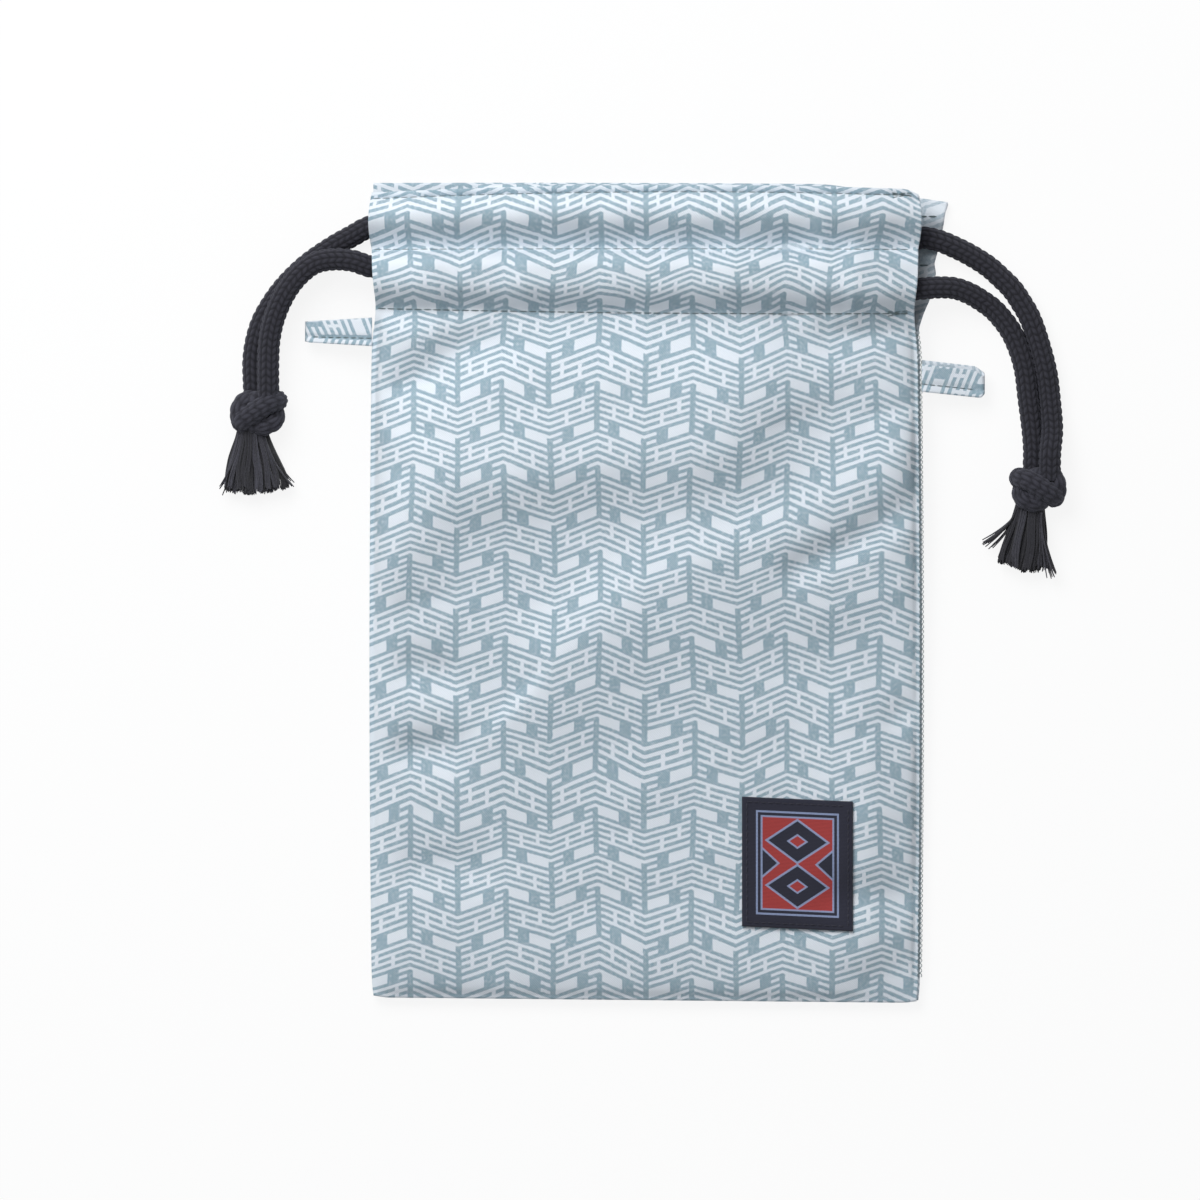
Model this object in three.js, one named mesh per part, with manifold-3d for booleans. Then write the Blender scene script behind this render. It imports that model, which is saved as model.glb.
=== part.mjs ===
// Kinchaku drawstring pouch, lying on its back with the mouth towards +Y, in millimetres, +Z up.
// One cloth is folded at the bottom, sewn up both sides and hemmed at the mouth, where two cords
// run through a front and a back channel and turn round at the opposite side slit.
import * as THREE from 'three';
import { mergeVertices } from 'three/addons/utils/BufferGeometryUtils.js';
import Module from 'manifold-3d';

// Driving dimensions
const pouchWidth = 170;
const pouchHeight = 255;
const clothWall = 0.8;
const cordDiameter = 7;
const cordClearance = 0.3;
const touchGap = 0.3;
const sewnGap = 0.45;
const mouthGap = 5;
const mouthLoft = 16.4;
const footLoft = 7;
const loftRun = 190;
const seamHeight = 3.2;
const seamLap = 0.4;
const seamWidth = 1.5;
const foldRound = 22;
const flatFrom = 0.92;

// Heights of the sewn lines above the bottom fold, at the left side, the middle and the right side
const lowerStitch = [216, 214.6, 214.4];
const upperStitch = [234.3, 234.5, 234.3];
const topStitch = [250, 252.2, 251];
const frontTop = [252, 254.4, 253];
const backTop = [255, 255, 254.4];

// Side slits and the hem layers inside them
const slitEnd = 207;
const slitBlend = 8;
const hemSetBack = 33;
const slitDroop = 6.4;
const headingPuff = 4;
const backHeadingPuff = 3;
const flapReach = 8.4;
const flapWaist = 0.62;
const flapDrop = 6;
const flapStart = 0.7;
const flapBelowSlit = 4;
const backSeamReach = 0.5;
const hemApproach = 16;
const cornerInside = 8;
const cornerOutside = 12;
const droopPastEdge = 3;

// Lobes of the side edge: out at the heading, in at the slit's end, out along the body
const headingBulge = 1.1;
const waistDraw = 1.2;
const waistReach = 8;
const sideBow = 0.7;

// Side tabs, folded from a strip and caught in the side seams
const leftTabLength = 20.8;
const rightTabLength = 19.6;
const tabWidth = 8.6;
const tabLayerGap = 0.7;
const leftTabRise = 1.7;
const rightTabHeight = 195;
const leftTabTaper = 0.28;
const rightTabTaper = 0.05;
const rightTabSlope = 0.11;
const tabTipDrop = 1.2;

// Woven label on the front
const labelWidth = 34.5;
const labelHeight = 40.4;
const labelCentre = [47.4, 43.2];
const labelSlope = 0.045;
const labelWall = 0.8;

// Cords in their channels
const strandSpacing = 7.25;
const strandSides = 8;
const strandSteps = 76;
const frontCordLift = 0.35;
const backCordLift = 0.95;
const turnSlack = 8.8;
const straightShares = [1.1, 0.9, 0.45, 0, -0.45, -0.9];
const turnDegrees = [90, 60, 30, 0, -30, -60, -90];

// Knots and tassels at the cord ends
const knotLength = 13.2;
const knotWidth = 17.6;
const knotThickness = 13.4;
const knotNeck = 10.6;
const knotProfile = [[0.4, 0], [0.46, 0.25], [0.42, 0.7]];
const wrapShare = 0.3;
const wrapTilt = 0.25;
const tasselLength = 19.6;
const tasselEnd = 23;
const tasselThickness = 8.4;
const tasselThinning = 0.35;
const tasselRim = 0.2;
const fluteDepth = 0.12;
const fluteWaves = 5.8;
const frayDepth = 0.05;
const frayWaves = 9;
const leftTasselLean = 0.04;
const rightTasselLean = -0.12;

// Soft folds on the front: from and to give side distance and height above the bottom fold
const softFolds = [
  { from: [-84, 138], to: [-36, 204], rise: 1.3, width: 15 },
  { from: [-28, 100], to: [84, 178], rise: 1.2, width: 13 },
  { from: [40, 137], to: [85, 164], rise: -0.9, width: 7 },
  { from: [-85, 92], to: [-60, 104], rise: -0.7, width: 8 },
  { from: [60, 30], to: [85, 36], rise: -0.7, width: 8 },
];

// Free strands as they lie, from the knot to the channel. Each place gives how far it is out from the
// pouch's side edge, how far past the channel's middle towards the mouth, and the space under the cord.
const leftFrontStrand = [
  [32.2, -33, 5.9], [32.2, -26.4, 5.9], [31.9, -19.4, 6], [30.7, -13.1, 6.4], [28.5, -7.2, 6.9],
  [25.7, -2.2, 7.4], [22, 2.1, 7.6], [17.6, 5.2, 7.6], [12, 6.3, 7.5], [6.1, 5.9, 7.6], [-0.1, 4, 7.2],
  [-9, 3.6, 8.7], [-17, 3.6, 11.7], [-24, 3.6, 14.6],
];
const leftBackStrand = [
  [36.6, -33, 0.2], [36.8, -25.5, 0.2], [36, -19.3, 0.2], [34.1, -13.1, 0.2], [31, -7.5, 0.2],
  [27.6, -2.8, 0.2], [23.9, 1.2, 0.2], [19.8, 4.9, 0.2], [15.5, 8, 0.2], [10.8, 11, 0.3],
  [6.1, 13.6, 0.6], [0.8, 16.4, 1.1], [-6, 17.4, 1.3], [-13, 14, 1.3], [-20, 8.2, 1.3],
];
const rightFrontStrand = [
  [35.6, -58.5, 0.5], [35.6, -52.9, 0.3], [35, -46.4, 0.2], [33.8, -37.1, 0.2], [32.6, -27.7, 0.2],
  [31, -21.8, 0.2], [28.8, -16.4, 0.2], [26.3, -12.5, 0.3], [23.2, -9.1, 0.7], [19.8, -6.6, 1.7],
  [16.1, -4.4, 3.1], [11.4, -2.7, 4.7], [6.1, -2.4, 6.1], [0.8, -2.8, 7], [-9, -3.6, 8.7],
  [-17, -3.6, 11.7], [-24, -3.6, 14.6],
];
const rightBackStrand = [
  [41.2, -58.5, 5.1], [41.3, -53.9, 4.9], [42.2, -46.9, 2.1], [41.6, -37.5, 0.2], [40.5, -28.7, 0.2],
  [37.5, -18.5, 0.2], [34.6, -11.6, 0.2], [31.9, -6.9, 0.2], [29.1, -2.8, 0.2], [25.7, 0.6, 0.2],
  [21.9, 4, 0.2], [16.1, 7.7, 0.5], [11.1, 10.2, 1.1], [6.1, 12.2, 1.3], [0.8, 13, 1.3], [-4, 10.2, 1.3],
  [-7.4, 4.2, 1.3], [-11.6, -0.8, 1.3], [-18, -2.8, 1.3],
];

// Levels worked out from the driving dimensions
const halfWidth = pouchWidth / 2;
const foldY = -pouchHeight / 2;
const hemEnd = halfWidth - hemSetBack;
const leftTabHeight = slitEnd + leftTabRise;
const turnStart = hemEnd + turnSlack;
const channelMiddle = foldY + (lowerStitch[1] + upperStitch[1]) / 2;
const frontChannelMiddle = channelMiddle + frontCordLift;
const backChannelMiddle = channelMiddle + backCordLift;
const channelRise = cordDiameter + 3 * cordClearance + seamLap;
const backHemTop = clothWall - seamLap + channelRise + clothWall;
const frontHemLow = backHemTop + mouthGap;
const frontHemHigh = frontHemLow + clothWall;
const frontStitchTop = frontHemHigh - seamLap + clothWall;
const frontCordZ = frontHemHigh + cordClearance + cordDiameter / 2;
const backCordZ = clothWall + cordClearance + cordDiameter / 2;

const wasm = await Module();
wasm.setup();

function material(colour, roughness) {
  return new THREE.MeshStandardMaterial({ color: colour, roughness, metalness: 0 });
}

const clothMaterial = material(0xc3d0d9, 0.85);
const cordMaterial = material(0x2b2b33, 0.8);
const labelMaterial = material(0x23253a, 0.75);

function smoothStep(value, from, to) {
  return THREE.MathUtils.smoothstep(value, from, to);
}

// A parabola through the heights at the left side, the middle and the right side
function lineHeight([left, middle, right], x) {
  const across = x / halfWidth;
  const tilt = (right - left) / 2;
  const bow = (left + right) / 2 - middle;
  return middle + tilt * across + bow * across * across;
}

// Closed sheet on a grid: point(column, row) gives x, y, the lower height and the upper height
function sheet(columns, rows, point) {
  const positions = [];
  const triangles = [];
  const layer = columns.length * rows.length;
  const grid = rows.flatMap((row) => columns.map((column) => point(column, row)));
  grid.forEach(([x, y, low]) => positions.push(x, y, low));
  grid.forEach(([x, y, , high]) => positions.push(x, y, high));
  const index = (i, j) => j * columns.length + i;
  const lastColumn = columns.length - 1;
  const lastRow = rows.length - 1;
  for (let j = 0; j < lastRow; j += 1) {
    for (let i = 0; i < lastColumn; i += 1) {
      const corners = [index(i, j), index(i + 1, j), index(i + 1, j + 1), index(i, j + 1)];
      const [a, b, c, d] = corners;
      triangles.push(a, c, b, a, d, c);
      triangles.push(a + layer, b + layer, c + layer, a + layer, c + layer, d + layer);
    }
  }
  const wall = (a, b) => triangles.push(a, b, b + layer, a, b + layer, a + layer);
  for (let i = 0; i < lastColumn; i += 1) {
    wall(index(i, 0), index(i + 1, 0));
    wall(index(i + 1, lastRow), index(i, lastRow));
  }
  for (let j = 0; j < lastRow; j += 1) {
    wall(index(lastColumn, j), index(lastColumn, j + 1));
    wall(index(0, j + 1), index(0, j));
  }
  const geometry = new THREE.BufferGeometry();
  geometry.setAttribute('position', new THREE.Float32BufferAttribute(positions, 3));
  geometry.setIndex(triangles);
  return geometry;
}

function toSolid(geometry) {
  const plain = geometry.clone();
  plain.deleteAttribute('normal');
  plain.deleteAttribute('uv');
  const merged = mergeVertices(plain, 1e-4);
  return new wasm.Manifold(new wasm.Mesh({
    numProp: 3,
    vertProperties: new Float32Array(merged.attributes.position.array),
    triVerts: new Uint32Array(merged.index.array),
  }));
}

function toGeometry(solid) {
  const { vertProperties, triVerts } = solid.getMesh();
  const geometry = new THREE.BufferGeometry();
  geometry.setAttribute('position', new THREE.BufferAttribute(vertProperties, 3));
  geometry.setIndex(new THREE.BufferAttribute(triVerts, 1));
  geometry.computeVertexNormals();
  return geometry;
}

function mirrored(shares) {
  return [...shares.map((share) => -share), 0, ...shares.toReversed()];
}

// Rows between two sewn lines, each a function of x that gives the height above the bottom fold
function rowsBetween(from, to, shares) {
  return shares.map((share) => (x) => THREE.MathUtils.lerp(from(x), to(x), share));
}

// Puffed cloth between two sewn lines: flat over the middle and steep at the lines
function puff(height, low, high, inset, rise) {
  const reach = (high - low) / 2 - inset;
  const offset = Math.abs(height - (low + high) / 2) / reach;
  return offset < 1 ? rise * (1 - offset ** 8) : 0;
}

// Half a pillow: 0 on the seams and the bottom fold, 1 over the middle
function pillow(across, height, round) {
  const span = Math.min(Math.abs(across) / (1 - seamWidth / halfWidth), 1);
  const foot = 1 - THREE.MathUtils.clamp((height - seamWidth) / round, 0, 1);
  return Math.sqrt(1 - span ** 8) * Math.sqrt(1 - foot ** 4);
}

function foldRise(x, height) {
  const spot = new THREE.Vector3(x, height, 0);
  return softFolds.reduce((total, { from, to, rise, width }) => {
    const line = new THREE.Line3(new THREE.Vector3(...from, 0), new THREE.Vector3(...to, 0));
    const near = line.closestPointToPoint(spot, true, new THREE.Vector3());
    return total + rise * Math.exp(-((near.distanceTo(spot) / width) ** 2));
  }, 0);
}

const front = {
  fold: () => 0,
  lower: (x) => lineHeight(lowerStitch, x),
  upper: (x) => lineHeight(upperStitch, x),
  stitch: (x) => lineHeight(topStitch, x),
  top: (x) => lineHeight(frontTop, x),
};

// The back's right flap sinks towards its corner, and its sewn lines sink with it
function backSink(x) {
  return flapDrop * smoothStep(x, hemEnd, halfWidth + flapReach);
}

const backLift = backCordLift - frontCordLift;
const back = {
  fold: () => seamLap,
  lower: (x) => lineHeight(lowerStitch, 0) + backLift - backSink(x),
  upper: (x) => lineHeight(upperStitch, 0) + backLift - backSink(x),
  top: (x) => lineHeight(backTop, x) - backSink(x),
};

// How far the side edge stands out from a straight line
function edgeLobe(x, height) {
  const along = (height - front.upper(x)) / (front.top(x) - front.upper(x));
  const heading = Math.sin(Math.PI * THREE.MathUtils.clamp(along, 0, 1));
  const waist = Math.exp(-(((height - front.lower(x)) / waistReach) ** 2));
  const bow = Math.sin(Math.PI * Math.min(height / slitEnd, 1));
  return headingBulge * heading - waistDraw * waist + sideBow * bow;
}

function frontSurface(x, height, across, inset) {
  const bodyLoft = THREE.MathUtils.lerp(footLoft, mouthLoft, smoothStep(height, 0, loftRun));
  const body = seamHeight + seamLap / 2 + clothWall / 2
    + (bodyLoft - seamHeight) * pillow(across, height, foldRound)
    + foldRise(x, height) * pillow(across, height, foldRound);
  const channel = puff(height, front.lower(x), front.upper(x), inset, channelRise);
  const heading = puff(height, front.upper(x), front.stitch(x), inset, headingPuff);
  const droop = slitDroop * smoothStep(Math.abs(x), turnStart + cordDiameter / 2, halfWidth + droopPastEdge);
  const hem = frontStitchTop + channel + heading - droop;
  const share = smoothStep(height, slitEnd, slitEnd + slitBlend);
  const shareInside = smoothStep(height, front.lower(x) - hemApproach, front.lower(x));
  const corner = smoothStep(Math.abs(x), hemEnd - cornerInside, hemEnd + cornerOutside);
  const blend = THREE.MathUtils.lerp(shareInside, share, corner);
  return THREE.MathUtils.lerp(body, hem, blend);
}

const bodyShares = [0, 0.0075, 0.022, 0.05, 0.1, 0.17, 0.25, 0.33, 0.41, 0.49, 0.57, 0.65, 0.73, 0.81, 0.88,
  0.94, 0.98];
const backBodyShares = [0, 0.0075, 0.022, 0.05, 0.1, 0.17, 0.25, 0.41, 0.57, 0.73, 0.88, 0.94, 0.98];
const puffShares = [0, 0.043, 0.068, 0.12, 0.2, 0.34, 0.5, 0.66, 0.8, 0.88, 0.932, 0.957];
const headingShares = [0, 0.05, 0.12, 0.3, 0.5, 0.7, 0.88, 0.95];
const edgeShares = [1, 0.98, 0.95, 0.89, 0.8, 0.7, 0.58, 0.44, 0.3, 0.15];
const backShares = [1, 0.98, 0.94, 0.86, 0.7, 0.4];
const hemShares = [1, 0.75, 0.5, 0.25];

function frontPanel() {
  const rows = [
    ...rowsBetween(front.fold, front.lower, bodyShares),
    ...rowsBetween(front.lower, front.upper, puffShares),
    ...rowsBetween(front.upper, front.stitch, headingShares),
    ...rowsBetween(front.stitch, front.top, [0, 1]),
  ];
  return sheet(mirrored(edgeShares), rows, (across, row) => {
    const middle = across * halfWidth;
    const height = row(middle);
    const x = across * (halfWidth + edgeLobe(middle, height));
    const high = frontSurface(middle, height, across, 0);
    const low = frontSurface(middle, height, across, clothWall) - clothWall;
    return [x, foldY + height, low, high];
  });
}

function backPanel() {
  const rows = [
    ...rowsBetween(back.fold, back.lower, backBodyShares),
    ...rowsBetween(back.lower, back.top, [0, 0.25, 0.5, 0.75, 1]),
  ];
  return sheet(mirrored(backShares), rows, (across, row) => {
    const middle = across * halfWidth;
    const height = row(middle);
    const aboveSlit = smoothStep(height, slitEnd - flapBelowSlit, slitEnd + slitBlend);
    const aboveChannel = smoothStep(height, back.upper(middle), back.top(middle));
    const widening = THREE.MathUtils.lerp(flapWaist, 1, aboveChannel);
    const flap = aboveSlit * widening * smoothStep(across, flapStart, 1);
    const x = across * (halfWidth + edgeLobe(middle, height)) + backSeamReach + flap * flapReach;
    const share = smoothStep(height, slitEnd - slitBlend, slitEnd);
    const rounding = 1 - Math.min(pillow(across, height, foldRound / 2) / flatFrom, 1);
    const low = (seamHeight + seamLap / 2 - clothWall) * rounding * (1 - share);
    return [x, foldY + height, low, low + clothWall];
  });
}

// Inner layer of the front hem: flat, caught at the sewn lines under the puffed outer cloth
function frontHem() {
  const rows = rowsBetween(front.lower, front.top, [0, 0.25, 0.5, 0.75, 0.99]);
  return sheet(mirrored(hemShares), rows, (across, row) => {
    const x = across * hemEnd;
    return [x, foldY + row(x) - seamLap, frontHemLow, frontHemHigh];
  });
}

// Inner layer of the back hem: puffed over the cords, because the outer cloth lies flat
function backHem() {
  const topLine = (x) => back.top(x) - seamLap;
  const rows = [
    ...rowsBetween(back.lower, back.upper, puffShares),
    ...rowsBetween(back.upper, topLine, [...headingShares, 1]),
  ];
  return sheet(mirrored(hemShares), rows, (across, row) => {
    const x = across * hemEnd;
    const height = row(x);
    const rise = (inset) => puff(height, back.lower(x), back.upper(x), inset, channelRise)
      + puff(height, back.upper(x), topLine(x), inset, backHeadingPuff);
    const low = clothWall - seamLap + rise(clothWall);
    const high = 2 * clothWall - seamLap + rise(0);
    return [x, foldY + height, low, high];
  });
}

function pouchBody() {
  const layers = [frontPanel(), backPanel(), frontHem(), backHem()].map(toSolid);
  return toGeometry(layers.reduce((whole, layer) => whole.add(layer)));
}

// Strip folded back on itself: two layers and a round fold at the tip
function tab(side, height, length, taper, slope) {
  const outer = clothWall + tabLayerGap / 2;
  const inner = tabLayerGap / 2;
  const straight = length - outer;
  const outline = new THREE.Shape();
  outline.moveTo(0, -outer);
  outline.lineTo(straight, -outer);
  outline.absarc(straight, 0, outer, -Math.PI / 2, Math.PI / 2, false);
  outline.lineTo(0, outer);
  outline.lineTo(0, inner);
  outline.lineTo(straight, inner);
  outline.absarc(straight, 0, inner, Math.PI / 2, -Math.PI / 2, true);
  outline.lineTo(0, -inner);
  outline.closePath();
  const settings = { depth: tabWidth, bevelEnabled: false, curveSegments: 5 };
  const strip = new THREE.ExtrudeGeometry(outline, settings);
  const places = strip.attributes.position;
  const seam = halfWidth + edgeLobe(side * halfWidth, height) + (side > 0 ? backSeamReach : 0);
  const base = seam + sewnGap;
  for (let i = 0; i < places.count; i += 1) {
    const out = places.getX(i);
    const share = out / length;
    const across = (places.getZ(i) - tabWidth / 2) * (1 - taper * share);
    places.setXYZ(i, side * (base + out), foldY + height + across - slope * out,
      seamHeight + places.getY(i) - tabTipDrop * share);
  }
  if (side > 0) {
    turnOver(strip);
  }
  return strip;
}

// Swapping two corners of every triangle turns a mirrored shape right side out
function turnOver(geometry) {
  const places = geometry.attributes.position.array;
  for (let i = 0; i < places.length; i += 9) {
    const second = places.slice(i + 3, i + 6);
    places.copyWithin(i + 3, i + 6, i + 9);
    places.set(second, i + 6);
  }
}

function label() {
  const shares = mirrored([1, 0.5]);
  return sheet(shares, shares, (across, up) => {
    const x = labelCentre[0] + across * labelWidth / 2;
    const height = labelCentre[1] + up * labelHeight / 2 - labelSlope * (x - labelCentre[0]);
    const base = frontSurface(x, height, x / halfWidth, 0) + sewnGap;
    return [x, foldY + height, base, base + labelWall];
  });
}

// The held run goes through the front channel, turns at the far slit and comes back behind
function heldRun(side, offset) {
  const frontY = frontChannelMiddle + offset;
  const backY = backChannelMiddle + offset;
  const radius = (frontCordZ - backCordZ) / 2;
  const middleZ = (frontCordZ + backCordZ) / 2;
  const straight = straightShares.map((share) => share * hemEnd);
  const turn = turnDegrees.map((degrees) => {
    const angle = THREE.MathUtils.degToRad(degrees);
    const y = THREE.MathUtils.lerp(frontY, backY, (90 - degrees) / 180);
    return [-side * (turnStart + radius * Math.cos(angle)), y, middleZ + radius * Math.sin(angle)];
  });
  return [
    ...straight.map((x) => [side * x, frontY, frontCordZ]),
    ...turn,
    ...straight.toReversed().map((x) => [side * x, backY, backCordZ]),
  ];
}

function strandPlace(side, [out, along, under]) {
  return [side * (halfWidth + out), frontChannelMiddle + along, under + cordDiameter / 2];
}

function drawcord(side, frontStrand, backStrand) {
  const offset = -side * strandSpacing / 2;
  const places = [
    ...frontStrand.map((place) => strandPlace(side, place)),
    ...heldRun(side, offset),
    ...backStrand.toReversed().map((place) => strandPlace(side, place)),
  ];
  const route = new THREE.CatmullRomCurve3(places.map((place) => new THREE.Vector3(...place)));
  const section = new THREE.Shape();
  for (let i = 0; i < strandSides; i += 1) {
    const angle = 2 * Math.PI * i / strandSides;
    const corner = [cordDiameter / 2 * Math.cos(angle), cordDiameter / 2 * Math.sin(angle)];
    if (i === 0) {
      section.moveTo(...corner);
    } else {
      section.lineTo(...corner);
    }
  }
  section.closePath();
  return new THREE.ExtrudeGeometry(section, { steps: strandSteps, extrudePath: route, bevelEnabled: false });
}

// Where both strands end, the knot begins a touching gap lower, halfway between them
function knotTop(side, frontStrand, backStrand) {
  const [frontX, y] = strandPlace(side, frontStrand[0]);
  const [backX] = strandPlace(side, backStrand[0]);
  return new THREE.Vector3((frontX + backX) / 2, y - touchGap, knotThickness / 2 + touchGap);
}

// Overhand knot: a drawn-in core and one wrap of doubled cord lying aslant round it
function knot(side) {
  const profile = [
    new THREE.Vector2(0, 0),
    ...knotProfile.map(([half, along]) => new THREE.Vector2(knotWidth * half, -knotLength * along)),
    new THREE.Vector2(knotNeck / 2, -knotLength),
    new THREE.Vector2(0, -knotLength),
  ];
  const core = new THREE.LatheGeometry(profile.toReversed(), 16);
  const band = knotLength * wrapShare;
  const wrap = new THREE.TorusGeometry(knotWidth / 2 - band, band, 8, 16);
  wrap.rotateX(Math.PI / 2);
  wrap.rotateZ(-side * wrapTilt);
  wrap.translate(0, -knotLength / 2, 0);
  const whole = toGeometry(toSolid(core).add(toSolid(wrap)));
  whole.scale(1, 1, knotThickness / knotWidth);
  return whole;
}

// Frayed cord ends: a flat fluted fan that spreads from the knot
function tassel() {
  const across = mirrored([1, 0.86, 0.68, 0.5, 0.34, 0.17]);
  const rows = [0, 0.12, 0.3, 0.5, 0.75, 1];
  return sheet(across, rows.toReversed(), (u, along) => {
    const half = THREE.MathUtils.lerp(knotNeck, tasselEnd, smoothStep(along, -0.15, 1)) / 2;
    const flute = 1 + fluteDepth * along * Math.cos(u * fluteWaves * Math.PI);
    const round = tasselRim + (1 - tasselRim) * Math.sqrt(1 - u * u);
    const thick = tasselThickness / 2 * (1 - tasselThinning * along) * round * flute;
    const fray = 1 + frayDepth * along * Math.cos(u * frayWaves);
    return [u * half, -along * tasselLength * fray, -thick, thick];
  });
}

function named(name, geometry, look) {
  const mesh = new THREE.Mesh(geometry, look);
  mesh.name = name;
  return mesh;
}

// The knot sits at the cord's end, and the tassel leaves it leaning as it lies
function cordEnd(name, side, frontStrand, backStrand, lean) {
  const end = new THREE.Group();
  end.position.copy(knotTop(side, frontStrand, backStrand));
  const tuft = named(`tassel_${name}`, tassel(), cordMaterial);
  const tilt = knotNeck / 2 * Math.sin(Math.abs(lean));
  tuft.rotation.z = lean;
  tuft.position.set(lean * knotLength, -knotLength - touchGap - tilt, (tasselThickness - knotThickness) / 2);
  end.add(named(`knot_${name}`, knot(side), cordMaterial), tuft);
  return end;
}

const pouch = new THREE.Group();
pouch.add(
  named('pouch_body', pouchBody(), clothMaterial),
  named('tab_left', tab(-1, leftTabHeight, leftTabLength, leftTabTaper, 0), clothMaterial),
  named('tab_right', tab(1, rightTabHeight, rightTabLength, rightTabTaper, rightTabSlope), clothMaterial),
  named('label', label(), labelMaterial),
  named('drawcord_left', drawcord(-1, leftFrontStrand, leftBackStrand), cordMaterial),
  named('drawcord_right', drawcord(1, rightFrontStrand, rightBackStrand), cordMaterial),
  cordEnd('left', -1, leftFrontStrand, leftBackStrand, leftTasselLean),
  cordEnd('right', 1, rightFrontStrand, rightBackStrand, rightTasselLean),
);

export default pouch;
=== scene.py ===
import math

import bpy
import numpy as np
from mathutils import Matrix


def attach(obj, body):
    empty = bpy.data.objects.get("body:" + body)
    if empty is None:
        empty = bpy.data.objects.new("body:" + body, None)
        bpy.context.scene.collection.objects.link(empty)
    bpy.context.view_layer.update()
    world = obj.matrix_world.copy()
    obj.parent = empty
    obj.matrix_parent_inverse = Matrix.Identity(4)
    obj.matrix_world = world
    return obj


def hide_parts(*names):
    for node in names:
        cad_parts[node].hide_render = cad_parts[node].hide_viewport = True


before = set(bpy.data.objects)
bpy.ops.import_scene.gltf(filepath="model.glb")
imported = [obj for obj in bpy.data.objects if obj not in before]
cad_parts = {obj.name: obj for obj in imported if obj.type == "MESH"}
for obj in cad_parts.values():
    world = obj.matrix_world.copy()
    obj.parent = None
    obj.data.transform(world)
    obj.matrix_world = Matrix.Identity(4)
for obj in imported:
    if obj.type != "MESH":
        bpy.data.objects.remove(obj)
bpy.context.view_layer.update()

scene = bpy.context.scene
scene.view_settings.view_transform = "Standard"
mm = 0.001  # all lengths below are in millimetres
print("frame loaded")

# camera straight above the pouch
overhead = dict(frameWidth=373.2, middle=(-14.0, -2.2), height=1000.0)
lens = bpy.data.cameras.new("overhead")
lens.type = "ORTHO"
lens.ortho_scale = overhead["frameWidth"] * mm
lens.clip_end = 20.0
camera = bpy.data.objects.new("overhead", lens)
camera.location = (overhead["middle"][0] * mm, overhead["middle"][1] * mm, overhead["height"] * mm)
scene.collection.objects.link(camera)
scene.camera = camera


# node trees

# principled material with its roughness, its sheen and a low gloss
def newMaterial(name, roughness, sheen=0.0):
    material = bpy.data.materials.new(name)
    material.use_nodes = True
    tree = material.node_tree
    shader = tree.nodes["Principled BSDF"]
    shader.inputs["Roughness"].default_value = roughness
    shader.inputs["Sheen Weight"].default_value = sheen
    shader.inputs["Sheen Roughness"].default_value = 0.6
    shader.inputs["Specular IOR Level"].default_value = 0.2
    return material, tree, shader


# links a socket, or sets its value
def feed(tree, socket, value):
    if isinstance(value, bpy.types.NodeSocket):
        tree.links.new(value, socket)
    else:
        socket.default_value = value


# one maths node
def calc(tree, operation, first, second=0.0, third=0.0):
    node = tree.nodes.new("ShaderNodeMath")
    node.operation = operation
    feed(tree, node.inputs[0], first)
    feed(tree, node.inputs[1], second)
    feed(tree, node.inputs[2], third)
    return node.outputs[0]


# first colour at a share of nought, second at one
def mixColour(tree, share, first, second):
    node = tree.nodes.new("ShaderNodeMix")
    node.data_type = "RGBA"
    feed(tree, node.inputs["Factor"], share)
    feed(tree, node.inputs[6], first)
    feed(tree, node.inputs[7], second)
    return node.outputs[2]


# soft noise about one half; the scale is per unit of the vector
def noiseField(tree, vector, scale, detail=2.0):
    node = tree.nodes.new("ShaderNodeTexNoise")
    node.inputs["Scale"].default_value = scale
    node.inputs["Detail"].default_value = detail
    tree.links.new(vector, node.inputs["Vector"])
    return node.outputs["Fac"]


# place on the cloth in millimetres, from its UV map
def uvPlace(tree):
    node = tree.nodes.new("ShaderNodeUVMap")
    node.uv_map = "clothMm"
    split = tree.nodes.new("ShaderNodeSeparateXYZ")
    tree.links.new(node.outputs["UV"], split.inputs[0])
    return node.outputs["UV"], split.outputs["X"], split.outputs["Y"]


# relief in the shading, with its height in millimetres
def bumpOn(tree, shader, height, distance, strength=1.0):
    node = tree.nodes.new("ShaderNodeBump")
    node.inputs["Strength"].default_value = strength
    node.inputs["Distance"].default_value = distance * mm
    tree.links.new(height, node.inputs["Height"])
    tree.links.new(node.outputs["Normal"], shader.inputs["Normal"])


# a value kept at each point of the mesh
def attribute(tree, name):
    node = tree.nodes.new("ShaderNodeAttribute")
    node.attribute_name = name
    return node.outputs["Fac"]


# printed cotton: arrow-feather stripes in pale blue on an off-white ground; the blocks give their place
# in stripes, low and high, and then their place across the column, from the valley to the peak
printLook = dict(
    ground=(0.745, 0.797, 0.860, 1), blue=(0.276, 0.392, 0.466, 1), dull=(0.60, 0.68, 0.73, 1),
    column=14.5, slant=5.4, stripe=2.2, stripesInRepeat=12, columnStep=0.5, stripeShare=0.52,
    inkedBlocks=((0.0, 2.5, 0.52, 0.76), (6.0, 8.5, 0.27, 0.51)),
    bareBlocks=((0.5, 2.0, 0.05, 0.52), (6.5, 8.0, 0.51, 0.95), (2.6, 4.5, 0.60, 0.68),
                (3.6, 5.5, 0.24, 0.32), (8.6, 10.5, 0.33, 0.41), (9.6, 11.5, 0.68, 0.76)),
    shaft=0.115, shaftRun=0.62, bleed=0.58, bleedScale=1.3, thread=0.72, yarnShare=0.35, wrongSide=0.55,
    mottleScale=1.15, mottleShare=2.0, mottleBase=-0.01, fleckScale=1.9, fleckShare=0.30, fleckRise=1.2,
)


# one where the value lies between low and high, else nought
def between(tree, value, low, high):
    return calc(tree, "COMPARE", value, (low + high) / 2, (high - low) / 2)


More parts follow.
